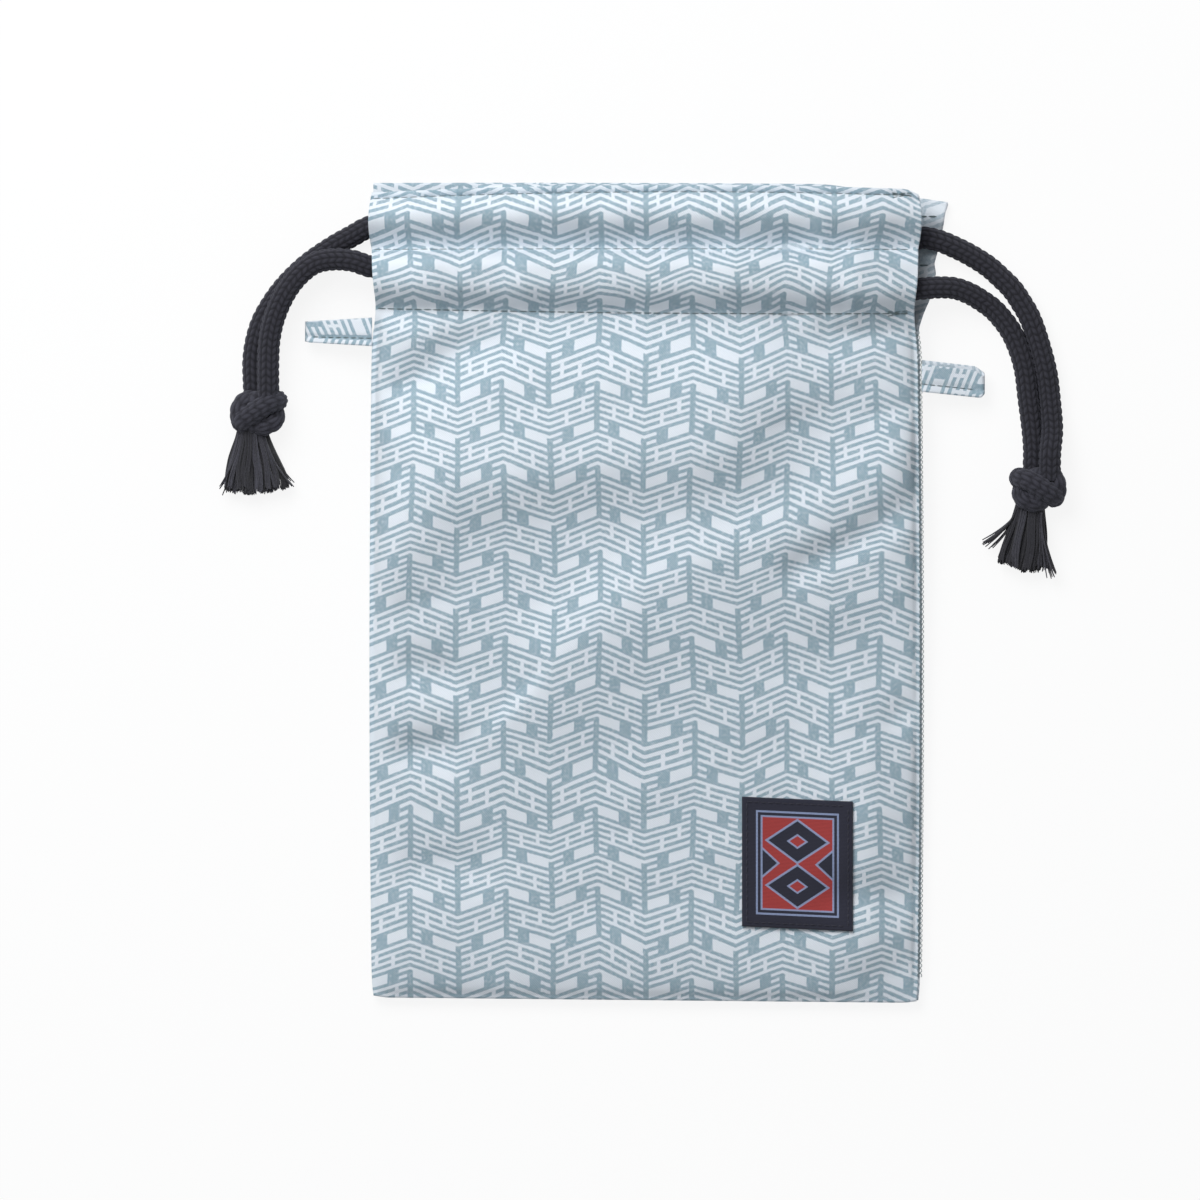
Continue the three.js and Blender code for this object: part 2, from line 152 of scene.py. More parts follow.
# one inside any of the blocks: the largest product of the two tests
def anyBlock(tree, stripe, across, blocks):
    found = 0.0
    for low, high, near, far in blocks:
        block = calc(tree, "MULTIPLY", between(tree, stripe, low, high), between(tree, across, near, far))
        found = calc(tree, "MAXIMUM", found, block)
    return found


# stripes follow height minus slant times a triangle wave across two columns; counted in stripes, each
# repeat has inked and bare blocks and a shaft on part of each column edge, and the columns step by half
def featherPrint(tree, across, along, place):
    look = printLook
    wander = calc(tree, "SUBTRACT", noiseField(tree, place, look["bleedScale"]), 0.5)
    acrossSoft = calc(tree, "MULTIPLY_ADD", wander, look["bleed"], across)
    alongSoft = calc(tree, "MULTIPLY_ADD", wander, look["bleed"], along)
    column = calc(tree, "DIVIDE", acrossSoft, look["column"])
    fromValley = calc(tree, "PINGPONG", column, 1.0)
    level = calc(tree, "MULTIPLY_ADD", fromValley, -look["slant"], alongSoft)
    repeat = calc(tree, "DIVIDE", level, look["stripe"] * look["stripesInRepeat"])
    columnStart = calc(tree, "FLOOR", column)
    stepped = calc(tree, "FRACT", calc(tree, "MULTIPLY_ADD", columnStart, look["columnStep"], repeat))
    stripe = calc(tree, "MULTIPLY", stepped, look["stripesInRepeat"])
    stripes = calc(tree, "LESS_THAN", calc(tree, "FRACT", stripe), look["stripeShare"])
    blocks = anyBlock(tree, stripe, fromValley, look["inkedBlocks"])
    bare = anyBlock(tree, stripe, fromValley, look["bareBlocks"])
    inked = calc(tree, "MAXIMUM", stripes, blocks)
    inked = calc(tree, "MULTIPLY", inked, calc(tree, "SUBTRACT", 1.0, bare))
    edge = calc(tree, "ROUND", column)
    fromEdge = calc(tree, "ABSOLUTE", calc(tree, "SUBTRACT", column, edge))
    onEdge = calc(tree, "LESS_THAN", fromEdge, look["shaft"] / 2)
    run = calc(tree, "FRACT", calc(tree, "MULTIPLY_ADD", edge, look["columnStep"], repeat))
    shaft = calc(tree, "MULTIPLY", onEdge, calc(tree, "LESS_THAN", run, look["shaftRun"]))
    return calc(tree, "MAXIMUM", inked, shaft)


# plain weave: product of two sine waves along the threads
def weave(tree, across, along, pitch):
    first = calc(tree, "SINE", calc(tree, "MULTIPLY", across, 2 * math.pi / pitch))
    second = calc(tree, "SINE", calc(tree, "MULTIPLY", along, 2 * math.pi / pitch))
    return calc(tree, "MULTIPLY", first, second)


# ink where the print lies, its depth a mottle and the weave, on cotton flecked with a duller tone
def printedCotton(name, inkShare):
    look = printLook
    material, tree, shader = newMaterial(name, roughness=0.88, sheen=0.12)
    place, across, along = uvPlace(tree)
    ink = featherPrint(tree, across, along, place)
    fleck = noiseField(tree, place, look["fleckScale"], detail=3.0)
    yarn = weave(tree, across, along, look["thread"])
    mottle = noiseField(tree, place, look["mottleScale"], detail=3.0)
    depth = calc(tree, "MULTIPLY_ADD", mottle, look["mottleShare"], look["mottleBase"])
    depth = calc(tree, "MULTIPLY_ADD", yarn, look["yarnShare"], depth)
    faded = calc(tree, "MULTIPLY", ink, calc(tree, "MULTIPLY", depth, inkShare))
    flecks = calc(tree, "MULTIPLY", fleck, look["fleckShare"])
    cotton = mixColour(tree, flecks, look["ground"], look["dull"])
    tree.links.new(mixColour(tree, faded, cotton, look["blue"]), shader.inputs["Base Color"])
    threads = calc(tree, "MULTIPLY_ADD", fleck, look["fleckRise"], yarn)
    bumpOn(tree, shader, threads, distance=0.06, strength=0.6)
    return material


# braided cord: dark plaits, with painted shade between them and a painted highlight, broken by a fine noise,
# on their tops
cordLook = dict(
    plaitShade=(0.0055, 0.0055, 0.0075, 1), body=(0.0185, 0.0185, 0.0255, 1), plaitHighlight=(0.044, 0.044, 0.058, 1),
    sheenTint=(0.55, 0.56, 0.66, 1), fuzzScale=2600.0, highlightPower=1.6,
)


# painted shade to body colour by the plait's height, then a painted highlight by its power times a fine
# noise
def cordFibre(name):
    material, tree, shader = newMaterial(name, roughness=0.85, sheen=0.16)
    shader.inputs["Sheen Tint"].default_value = cordLook["sheenTint"]
    place = tree.nodes.new("ShaderNodeTexCoord").outputs["Object"]
    fuzz = noiseField(tree, place, cordLook["fuzzScale"], detail=3.0)
    plait = attribute(tree, "tone")
    # painted highlight on the plait tops, over painted shade in the hollows between the plaits
    lit = calc(tree, "MULTIPLY", calc(tree, "POWER", plait, cordLook["highlightPower"]), fuzz)
    colour = mixColour(tree, plait, cordLook["plaitShade"], cordLook["body"])
    tree.links.new(mixColour(tree, lit, colour, cordLook["plaitHighlight"]), shader.inputs["Base Color"])
    bumpOn(tree, shader, fuzz, distance=0.12, strength=0.8)
    return material


# threads: each one's dark and lit colours, mixed by a fine noise and, in a tassel, by the lock's own tone
threadLook = dict(
    frayed=((0.0055, 0.0055, 0.0075, 1), (0.052, 0.052, 0.070, 1)),
    sewing=((0.075, 0.115, 0.125, 1), (0.16, 0.21, 0.22, 1)),
    label=((0.012, 0.012, 0.022, 1), (0.03, 0.03, 0.05, 1)), fuzzScale=1800.0,
)


# the mix's share is the noise, times the tone in locks
def threadFibre(name, colours, inLocks=False):
    material, tree, shader = newMaterial(name, roughness=0.75, sheen=0.2)
    place = tree.nodes.new("ShaderNodeTexCoord").outputs["Object"]
    fuzz = noiseField(tree, place, threadLook["fuzzScale"])
    share = calc(tree, "MULTIPLY", fuzz, attribute(tree, "tone")) if inLocks else fuzz
    tree.links.new(mixColour(tree, share, *colours), shader.inputs["Base Color"])
    bumpOn(tree, shader, fuzz, distance=0.05, strength=0.6)
    return material


cottonFace = printedCotton("printedCotton", 1.0)
cottonBack = printedCotton("printedCottonWrongSide", printLook["wrongSide"])
cordCover = cordFibre("braidedCord")
frayedFibre = threadFibre("frayedFibre", threadLook["frayed"], inLocks=True)
sewingThread = threadFibre("sewingThread", threadLook["sewing"])
labelThread = threadFibre("labelThread", threadLook["label"])
print("materials made")


# meshes

# four corners of each cell of a grid counted row by row; a closed grid joins its last column to its first
def gridQuads(rows, columns, closed=False):
    row = np.arange(rows - 1)[:, None]
    column = np.arange(columns if closed else columns - 1)[None, :]
    after = (column + 1) % columns
    low, high = row * columns, (row + 1) * columns
    return np.stack([low + column, low + after, high + after, high + column], axis=-1).reshape(-1, 4)


# mesh from places in millimetres and quads, with a UV map or a tone at each point where given
def meshPiece(name, places, quads, material, uv=None, tone=None):
    mesh = bpy.data.meshes.new(name)
    mesh.from_pydata((places.reshape(-1, 3) * mm).tolist(), [], quads.tolist())
    mesh.polygons.foreach_set("use_smooth", np.ones(len(mesh.polygons), dtype=bool))
    mesh.materials.append(material)
    if uv is not None:
        layer = mesh.uv_layers.new(name="clothMm")
        corner = np.empty(len(mesh.loops), dtype=np.int32)
        mesh.loops.foreach_get("vertex_index", corner)
        layer.data.foreach_set("uv", uv.reshape(-1, 2)[corner].astype(np.float32).ravel())
    if tone is not None:
        layer = mesh.attributes.new("tone", "FLOAT", "POINT")
        layer.data.foreach_set("value", tone.astype(np.float32).ravel())
    mesh.update()
    piece = bpy.data.objects.new(name, mesh)
    scene.collection.objects.link(piece)
    return piece


# one list of places and quads from several, each one's corners counted on from those before it
def joined(parts):
    starts = np.cumsum([0] + [len(places) for places, quads in parts[:-1]])
    quads = [quads + start for (places, quads), start in zip(parts, starts)]
    return np.concatenate([places for places, quads in parts]), np.concatenate(quads)


# three times the share squared less twice its cube
def smoothStep(value, low, high):
    share = np.clip((value - low) / (high - low), 0, 1)
    return share * share * (3 - 2 * share)


# first plus a share of the way to the second
def lerp(first, second, share):
    return first + (second - first) * share


# braided cords
cords = dict(
    diameter=7.0, freeRadius=3.52, heldRadius=3.05, heldSpacing=6.3, heldNudge=1.0, knotReach=4.2,
    frontMiddle=97.4, backMiddle=98.0, frontZ=19.1, backZ=4.6, hemEnd=52.0, turnStart=60.8, sideEdge=85.0,
    columns=12, plaitLength=2.35, relief=0.5, lean=0.62, turn=0.2, narrowest=0.02,
    sides=60, step=0.3, heldSides=24, heldStep=0.8, perPiece=24, tipPoints=6,
)

# free strands from the knot to the channel: out from the side edge, past the channel, space under the cord
leftFrontStrand = [
    (32.2, -33, 5.9), (32.2, -26.4, 5.9), (31.9, -19.4, 6), (30.7, -13.1, 6.4), (28.5, -7.2, 6.9),
    (25.7, -2.2, 7.4), (22, 2.1, 7.6), (17.6, 5.2, 7.6), (12, 6.3, 7.5), (6.1, 5.9, 7.6), (-0.1, 4, 7.2),
    (-9, 3.6, 8.7), (-17, 3.6, 11.7), (-24, 3.6, 14.6),
]
leftBackStrand = [
    (36.6, -33, 0.2), (36.8, -25.5, 0.2), (36, -19.3, 0.2), (34.1, -13.1, 0.2), (31, -7.5, 0.2),
    (27.6, -2.8, 0.2), (23.9, 1.2, 0.2), (19.8, 4.9, 0.2), (15.5, 8, 0.2), (10.8, 11, 0.3), (6.1, 13.6, 0.6),
    (0.8, 16.4, 1.1), (-6, 17.4, 1.3), (-13, 14, 1.3), (-20, 8.2, 1.3),
]
rightFrontStrand = [
    (35.9, -58.5, 0.5), (36, -52.9, 0.3), (35.5, -46.4, 0.2), (34.3, -37.1, 0.2), (33.1, -27.7, 0.2),
    (31.4, -21.8, 0.2), (29, -16.4, 0.2), (26.3, -12.5, 0.3), (23.2, -9.1, 0.7), (19.8, -6.6, 1.7),
    (16.1, -4.4, 3.1), (11.4, -2.7, 4.7), (6.1, -2.4, 6.1), (0.8, -2.8, 7), (-9, -3.6, 8.7),
    (-17, -3.6, 11.7), (-24, -3.6, 14.6),
]
rightBackStrand = [
    (40.9, -58.5, 5.1), (41, -53.9, 4.9), (41.6, -46.9, 2.1), (40.9, -37.5, 0.2), (39.8, -28.7, 0.2),
    (37.1, -18.5, 0.2), (34.6, -11.6, 0.2), (31.9, -6.9, 0.2), (29.1, -2.8, 0.2), (25.7, 0.6, 0.2),
    (21.9, 4, 0.2), (16.1, 7.7, 0.5), (11.1, 10.2, 1.1), (6.1, 12.2, 1.3), (0.8, 13, 1.3), (-4, 10.2, 1.3),
    (-7.4, 4.2, 1.3), (-11.6, -0.8, 1.3), (-18, -2.8, 1.3),
]


# out from the side edge, up from the channel's middle and half a cord above what lies under it
def strandPlaces(side, strand):
    out, past, under = np.array(strand, dtype=float).T
    places = (side * (cords["sideEdge"] + out), cords["frontMiddle"] + past, under + cords["diameter"] / 2)
    return np.stack(places, axis=1)


# the held run goes along the front channel, round a half circle at the far slit and back behind
def heldPlaces(side):
    offset = -side * cords["heldSpacing"] / 2
    radius = (cords["frontZ"] - cords["backZ"]) / 2
    straight = side * cords["hemEnd"] * np.array([1.1, 0.9, 0.45, 0, -0.45, -0.9])
    angle = np.radians([90, 60, 30, 0, -30, -60, -90])
    turnX = -side * (cords["turnStart"] + radius * np.cos(angle))
    frontY = cords["frontMiddle"] + cords["heldNudge"]
    turnY = np.linspace(frontY, cords["backMiddle"], len(angle))
    turnZ = cords["backZ"] + radius + radius * np.sin(angle)
    x = np.concatenate([straight, turnX, straight[::-1]])
    count = len(straight)
    y = np.concatenate([np.full(count, frontY), turnY, np.full(count, cords["backMiddle"])]) + offset
    z = np.concatenate([np.full(count, cords["frontZ"]), turnZ, np.full(count, cords["backZ"])])
    return np.stack([x, y, z], axis=1)


# smooth line through the points: each piece is a cubic whose end slopes come from the spacing of its
# neighbours, with knots at the square roots of the distances
def smoothLine(points, perPiece):
    first = 2 * points[0] - points[1]
    last = 2 * points[-1] - points[-2]
    row = np.vstack([first, points, last])
    gap = np.sqrt(np.linalg.norm(np.diff(row, axis=0), axis=1))[:, None]
    slope = np.diff(row, axis=0) / gap
    wide = (row[2:] - row[:-2]) / (gap[:-1] + gap[1:])
    tangent = slope[:-1] - wide + slope[1:]
    share = np.linspace(0, 1, perPiece, endpoint=False)[None, :, None]
    start, end = points[:-1, None], points[1:, None]
    span = gap[1:-1, None]
    startSlope, endSlope = tangent[:-1, None] * span, tangent[1:, None] * span
    cubic = (2 * start - 2 * end + startSlope + endSlope) * share ** 3
    square = (-3 * start + 3 * end - 2 * startSlope - endSlope) * share ** 2
    line = cubic + square + startSlope * share + start
    return np.vstack([line.reshape(-1, 3), points[-1:]])


# distance along the line at each of its points
def lengths(line):
    return np.concatenate([[0], np.cumsum(np.linalg.norm(np.diff(line, axis=0), axis=1))])


# whole length of a line
def lengthOf(line):
    return float(lengths(line)[-1])


# the same line with points at even distances
def evenLine(line, step):
    run = lengths(line)
    places = np.linspace(0, run[-1], max(int(run[-1] / step), 8) + 1)
    return np.stack([np.interp(places, run, line[:, i]) for i in range(3)], axis=1), places


# vectors divided by their lengths
def unit(vectors):
    return vectors / np.linalg.norm(vectors, axis=-1, keepdims=True)


# threads round many lines: a ring of the radius in the plane of each point's side and upward directions
def threadTubes(centre, upward, radius, sides):
    count, steps = centre.shape[:2]
    tangent = unit(np.gradient(centre, axis=1))
    across = unit(np.cross(tangent, upward))
    normal = np.cross(across, tangent)
    angle = np.linspace(0, 2 * np.pi, sides, endpoint=False)
    ring = np.cos(angle)[:, None] * normal[:, :, None] + np.sin(angle)[:, None] * across[:, :, None]
    places = centre[:, :, None] + radius[..., None, None] * ring
    quads = np.arange(count)[:, None, None] * steps * sides + gridQuads(steps, sides, True)
    return places.reshape(-1, 3), quads.reshape(-1, 4)


# plaits lie in columns round the cord: a column's row coordinate leans one way and its neighbour's the
# other, and each plait is a rounded bump, the product of a cosine across and a cosine along
def plaitHeight(angle, along):
    column = angle * cords["columns"] / (2 * np.pi)
    local = column - np.floor(column) - 0.5
    lean = np.where(np.floor(column) % 2 == 0, 1, -1) * cords["lean"]
    row = along / cords["plaitLength"] + lean * local
    inRow = row - np.floor(row) - 0.5
    return np.cos(np.pi * local) ** 0.6 * np.cos(np.pi * inRow) ** 0.55


# tube round a line: radius times the plait relief, in a frame made from the tangent and a side direction;
# closed ends narrow along a quarter circle
def braidTube(line, start, radius, sideways, step, sides, ends=0.0):
    centre, along = evenLine(line, step)
    tangent = unit(np.gradient(centre, axis=0))
    if sideways is None:
        across = unit(np.cross(tangent, (0, 0, 1)))
    else:
        across = unit(sideways - tangent * (tangent @ sideways)[:, None])
    up = np.cross(across, tangent)
    angle = np.linspace(0, 2 * np.pi, sides, endpoint=False)[None, :]
    height = plaitHeight(angle + cords["turn"], along[:, None] + start)
    taper = np.ones_like(along)
    if ends > 0:
        fromEnd = np.minimum(along, along[-1] - along)
        taper = np.sqrt(1 - np.clip(1 - fromEnd / ends, 0, 1) ** 2)
    reach = radius - cords["relief"] + cords["relief"] * height
    reach = reach * np.maximum(taper, cords["narrowest"])[:, None]
    ring = np.cos(angle)[..., None] * up[:, None] + np.sin(angle)[..., None] * across[:, None]
    places = centre[:, None] + reach[..., None] * ring
    return places.reshape(-1, 3), gridQuads(len(centre), sides, True), height.ravel(), centre


# one smooth line through both strands and the held run, cut into three tubes inside the slits; the ends
# go straight on into the knot
def drawcord(name, side, frontStrand, backStrand):
    frontEnds = strandPlaces(side, frontStrand)
    run = heldPlaces(side)
    backEnds = strandPlaces(side, backStrand)[::-1]
    perPiece = cords["perPiece"]
    whole = smoothLine(np.vstack([frontEnds, run, backEnds]), perPiece)
    frontStop = (len(frontEnds) - 3) * perPiece
    backStop = (len(frontEnds) + len(run) + 2) * perPiece
    reach = np.linspace(1, 0, cords["tipPoints"], endpoint=False)[:, None] * cords["knotReach"]
    frontTip = whole[0] + reach * unit(whole[0] - whole[1])
    backTip = whole[-1] + reach[::-1] * unit(whole[-1] - whole[-2])
    front = np.vstack([frontTip, whole[:frontStop + 1]])
    held = whole[frontStop:backStop + 1]
    back = np.vstack([whole[backStop:], backTip])
    starts = np.cumsum([0, lengthOf(front), lengthOf(held)])
    free = cords["freeRadius"], None, cords["step"], cords["sides"]
    inside = cords["heldRadius"], np.array([0, float(side), 0]), cords["heldStep"], cords["heldSides"]
    lines = dict(front=front, held=held, back=back)
    pieces = []
    for (place, line), start, shape in zip(lines.items(), starts, (free, inside, free)):
        places, quads, tone, centre = braidTube(line, start, *shape)
        piece = meshPiece(f"cord_{name}_{place}", places, quads, cordCover, tone=tone)
        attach(piece, f"drawcord_{name}")
        pieces.append((piece, centre))
    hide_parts(f"drawcord_{name}")
    return pieces, (frontEnds[0] + backEnds[-1]) / 2


leftCord, leftEnd = drawcord("left", -1, leftFrontStrand, leftBackStrand)
rightCord, rightEnd = drawcord("right", 1, rightFrontStrand, rightBackStrand)
print("cords laid")

# knots: bands of the same cord lying round a core, given from the knot's top and middle
knots = dict(
    length=12.3, thickness=13.4, gap=0.3, leftShift=(-1.0, -3.0), rightShift=(-1.0, -1.1), tight=0.9,
    paintedLightShare=1.6, sideways=(0.2, 0.15, 1.0), plaitStart=1.7, step=0.3, sides=36, perPiece=30,
)
leftBands = [
    ([(0.2, 1.5, -1), (0, -3, 0), (-0.5, -8, -0.6), (-0.8, -13.4, -1.8)], 5.3),
    ([(6.4, -2.2, -4), (6.6, -1.8, 0.5), (3.6, -2.8, 3.6),
      (-1.2, -5.6, 3.9), (-5.2, -8.4, 2.0), (-5.6, -9.2, -3)], 3.4),
    ([(-1, -1.6, -3), (-4.2, -2.4, 0.2), (-5.9, -5.2, 1.0), (-5.4, -8.8, 0.2), (-3, -10.8, -2)], 3.5),
    ([(4.6, -4, -4), (6.0, -6.6, -0.5), (5.4, -8.8, 1.4), (2.2, -10.4, 1.4), (-0.8, -10.6, -1)], 3.2),
]
rightBands = [
    ([(0.4, 1.5, 0), (0, -3, 0), (-0.4, -8, -0.4), (-0.9, -13.4, -1.8)], 5.3),
    ([(-6.2, -2.2, -4), (-6.4, -2.4, 0.5), (-3.4, -3.2, 3.6),
      (1.2, -5.8, 3.9), (5.0, -8.0, 2.0), (5.5, -8.8, -3)], 3.4),
    ([(1.4, -1.2, -3), (4.6, -1.9, 0.6), (5.9, -4.8, 1.2), (5.4, -8.4, 0.2), (3, -10.6, -2)], 3.5),
    ([(-4.4, -4.6, -4), (-5.9, -7.0, -0.5), (-5.2, -9.2, 1.4), (-2.0, -10.6, 1.4), (1.0, -10.4, -1)], 3.2),
]


# the strands' end moved by the shift, half the knot's thickness and a gap above the floor
def knotTop(end, shift):
    return np.array([end[0] + shift[0], end[1] + shift[1], knots["thickness"] / 2 + knots["gap"]])


# each band is a braided tube with closed ends along a smooth line through its points
def tiedKnot(name, top, bands):
    look = knots
    tubes = []
    for i, (points, radius) in enumerate(bands):
        route = np.array(points, dtype=float) * (look["tight"], look["tight"], 1.0) + top
        line = smoothLine(route, look["perPiece"])
        start = look["plaitStart"] * i
        sideways = np.array(look["sideways"])
        tubes.append(braidTube(line, start, radius, sideways, look["step"], look["sides"], radius))
    places, quads = joined([tube[:2] for tube in tubes])
    # the plait tone is raised by a share: painted light that lightens the knots against their own shade
    tone = np.concatenate([tube[2] for tube in tubes]) * look["paintedLightShare"]
    return meshPiece(name, places, quads, cordCover, tone=tone)


leftTop = knotTop(leftEnd, knots["leftShift"])
rightTop = knotTop(rightEnd, knots["rightShift"])
leftKnot = tiedKnot("tied_knot_left", leftTop, leftBands)
rightKnot = tiedKnot("tied_knot_right", rightTop, rightBands)

# tassels: loose threads that spread from the knot's neck and cling together in locks; the stray locks
# give their threads, root, end and end height, sideways and down from the neck
tassels = dict(
    threads=720, length=18.4, neck=4.1, thick=3.9, endThick=2.7, radius=0.29, thinEnd=0.55,
    locks=34, cling=0.46, endRound=0.08, uneven=(0.93, 1.03), fan=(-0.25, 1.05), tuck=1.6,
    curl=(0.05, 0.5), curlTurns=(5.5, 4.7), lockCurl=0.7, lockTurn=4.2, strayBend=1.6,
    strayLoose=(0.55, 0.3, 0.8), lockTone=(0.0, 1.5), threadTone=(0.7, 1.3), middleZ=4.6, lowestZ=0.45,
    sideways=(0.1, 0.2, 1.0), steps=14, sides=5,
)
leftFray = dict(
    lean=0.04, shift=-2.3, seed=11, spread=11.2, lengthShare=0.97,
    strays=[(6, 4.0, 11.9, -15.4), (5, 3.8, 10.9, -16.4), (5, -4.0, -10.2, -16.0)],
)
rightFray = dict(
    lean=-0.12, shift=-1.4, seed=23, spread=7.9, lengthShare=1.0,
    strays=[(9, -4.0, -12.6, -11.6), (5, -3.6, -10.6, -12.6), (9, 4.2, 10.0, -18.2), (6, 4.4, 8.6, -18.8)],
)


# each thread runs from a place in the neck's oval towards its lock's place in the wider end oval along a
# smooth step, with sideways waves of the lock and of the thread that grow towards the loose end
def frayedTassel(name, top, fray):
    look = tassels
    dice = np.random.default_rng(fray["seed"])
    count, locks = look["threads"], look["locks"]
    turn = dice.uniform(0, 2 * np.pi, count)
    reach = np.sqrt(dice.uniform(0, 1, count))
    root = np.stack([reach * np.cos(turn), reach * np.sin(turn)], axis=1)
    heart = root[:locks]
    lock = np.argmin(np.linalg.norm(root[:, None] - heart[None], axis=2), axis=1)
    tip = lerp(root, heart[lock], look["cling"])
    lockLength = dice.uniform(*look["uneven"], locks)[lock]
    threadLength = dice.uniform(*look["uneven"], count)
    length = look["length"] * fray["lengthShare"] * (1 - look["endRound"] * root[:, 0] ** 2)
    length = length * lockLength * threadLength
    share = np.linspace(0, 1, look["steps"])[None, :]
    fan = smoothStep(share, *look["fan"])
    wave = dice.uniform(0, 2 * np.pi, (2, count, 1))
    curl = dice.uniform(*look["curl"], (count, 1)) * share ** 1.5
    lockWave = dice.uniform(0, 2 * np.pi, locks)[lock][:, None]
    lockCurl = look["lockCurl"] * share ** 1.3 * np.sin(share * look["lockTurn"] + lockWave)
    curlX, curlZ = [curl * np.sin(share * turns + start) for turns, start in zip(look["curlTurns"], wave)]
    x = lerp(root[:, :1] * look["neck"], tip[:, :1] * fray["spread"], fan) + curlX + lockCurl
    z = lerp(root[:, 1:] * look["thick"], tip[:, 1:] * look["endThick"], fan) + 0.5 * curlZ
    y = -share * length[:, None] + look["tuck"] * (1 - share)
    first = locks
    endLoose, rootLoose, heightLoose = look["strayLoose"]
    for number, start, end, endHeight in fray["strays"]:
        some = slice(first, first + number)
        jitter = dice.normal(0, 1, (2, number, 1))
        bent = lerp(start, end + endLoose * jitter[0], share ** look["strayBend"])
        x[some] = bent + rootLoose * jitter[1] * (1 - share)
        y[some] = lerp(0, endHeight + heightLoose * jitter[1], share)
        first += number
    tone = dice.uniform(*look["lockTone"], locks)[lock] * dice.uniform(*look["threadTone"], count)
    lean = fray["lean"]
    x, y = x * np.cos(lean) - y * np.sin(lean), x * np.sin(lean) + y * np.cos(lean)
    neckX = lean * knots["length"] + fray["shift"]
    base = top + np.array([neckX, -knots["length"], look["middleZ"] - top[2]])
    centre = base + np.stack([x, y, z], axis=-1)
    centre[..., 2] = np.maximum(centre[..., 2], look["lowestZ"])
    thin = look["radius"] * lerp(1.0, look["thinEnd"], share ** 3)
    places, quads = threadTubes(centre, look["sideways"], thin, look["sides"])
    tone = np.repeat(tone, look["steps"] * look["sides"])
    return meshPiece(name, places, quads, frayedFibre, tone=tone)


leftTassel = frayedTassel("frayed_tassel_left", leftTop, leftFray)
rightTassel = frayedTassel("frayed_tassel_right", rightTop, rightFray)
for knot, tassel, name in ((leftKnot, leftTassel, "left"), (rightKnot, rightTassel, "right")):
    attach(knot, f"drawcord_{name}")
    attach(tassel, f"drawcord_{name}")
    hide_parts(f"knot_{name}")
    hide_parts(f"tassel_{name}")


print("knots and tassels tied")

# pouch cloth
pouch = dict(
    halfWidth=85.0, height=255.0, wall=0.8, seamHeight=3.2, seamLap=0.4, seamWidth=1.5, backSeamReach=0.5,
    footLoft=7.0, mouthLoft=16.4, loftRun=190.0, foldRound=22.0, sidePower=14, footPower=3, flatFrom=0.92,
    slitEnd=207.0, slitBlend=8.0, slitDroop=4.8, droopPast=3.0, hemEnd=52.0, cornerEase=(44.0, 64.0),
    hemApproach=16.0, frontHemLow=14.5, innerGap=0.07, frontStitchTop=15.7,
    turnedInFrom=236.0, turnedInEnd=78.0,
    channelRise=8.3, channelPower=3.2, channelLean=1.4, headingPuff=7.0, headingPower=2.3, headingLean=1.75,
    edgeRoll=1.0, edgePower=2.0, edgePast=1.2, backHeadingPuff=3.0, backLift=0.6, backEase=(205.0, 217.0),
    flapDrop=6.0, flapReach=8.0, seamRise=5.0, seamRiseFrom=20.0,
    rightSlack=0.4, slackFrom=10.0, slackHeights=(40.0, 110.0), rightEnd=0.35,
)
panels = dict(
    frontColumns=151, frontRows=(150, 28, 24, 8), frontCrowd=1.12, backColumns=91, backRows=(90, 20, 24),
    backCrowd=1.15, hemColumns=61, frontHemRows=(24,), backHemRows=(28, 20), sideCrowd=1.25,
)
foldY = -pouch["height"] / 2

# heights above the fold at the left side, the middle and the right side
lowerStitch = (216.0, 214.6, 214.4)
upperStitch = (234.3, 234.5, 234.3)
topStitch = (250.0, 252.2, 251.0)
frontTop = (252.0, 254.4, 253.0)
backTop = (255.0, 255.0, 254.4)

# soft folds: points in side distance and height above the fold, then rise and the widths to the left of
# the line and to its right
softFolds = [
    ([(-86, 138), (-61, 160), (-30, 170), (11, 172), (24, 176)], 6.2, 21, 16),
    ([(-25, 107), (-8, 122), (10, 131), (26, 138), (48, 146), (84, 170)], 4.4, 12, 26),
    ([(47, 135), (62, 142), (86, 157)], -2.8, 5.5, 5.5),
    ([(-46, 195), (20, 194), (80, 196)], 1.8, 11, 11),
    ([(-75, 192), (-50, 207)], -4.2, 7, 9),
    ([(-72, 103), (-64, 102)], -2.6, 7, 7),
    ([(-71, 78), (-62, 78)], -2.6, 7, 7),
    ([(-71, 41), (-54, 42)], -2.3, 8, 8),
    ([(80, 89), (84, 88)], -2.2, 7, 7),
    ([(60, 33), (86, 33)], -2.4, 7, 7),
    ([(67, 14), (68, 84)], 2.4, 14, 9),
    ([(70, 3), (80, 4)], -2.0, 8, 8),
]
smallFolds = [
    ([(-84, 190), (-66, 194)], -0.7, 3.0, 3.0), ([(-84, 183), (-64, 176)], -0.7, 3, 3),
    ([(-84, 168), (-74, 165)], -0.6, 2.5, 2.5), ([(-84, 118), (-62, 127)], -0.5, 4, 4),
    ([(-84, 74), (-64, 81)], -0.5, 4, 4), ([(-30, 168), (6, 196)], -0.4, 5, 5),
    ([(-10, 60), (40, 92)], 0.4, 8, 8), ([(-70, 20), (-30, 34)], 0.4, 9, 9),
    ([(52, 120), (84, 132)], 0.6, 5, 5), ([(66, 84), (84, 92)], -0.5, 4, 4),
    ([(68, 58), (84, 62)], 0.5, 5, 5), ([(70, 183), (85, 186)], -0.7, 2.2, 2.2),
    ([(64, 10), (84, 14)], -0.6, 5, 5), ([(58, 196), (84, 206)], 0.5, 4, 4),
    ([(-20, 30), (20, 36)], -0.4, 7, 7),
]
cordRidges = [([(66, 219.5), (90, 219.5)], 1.9, 6, 4.5)]  # the right front strand props the channel's end
foldTurn = 3.0  # how far from a fold's line its two widths blend

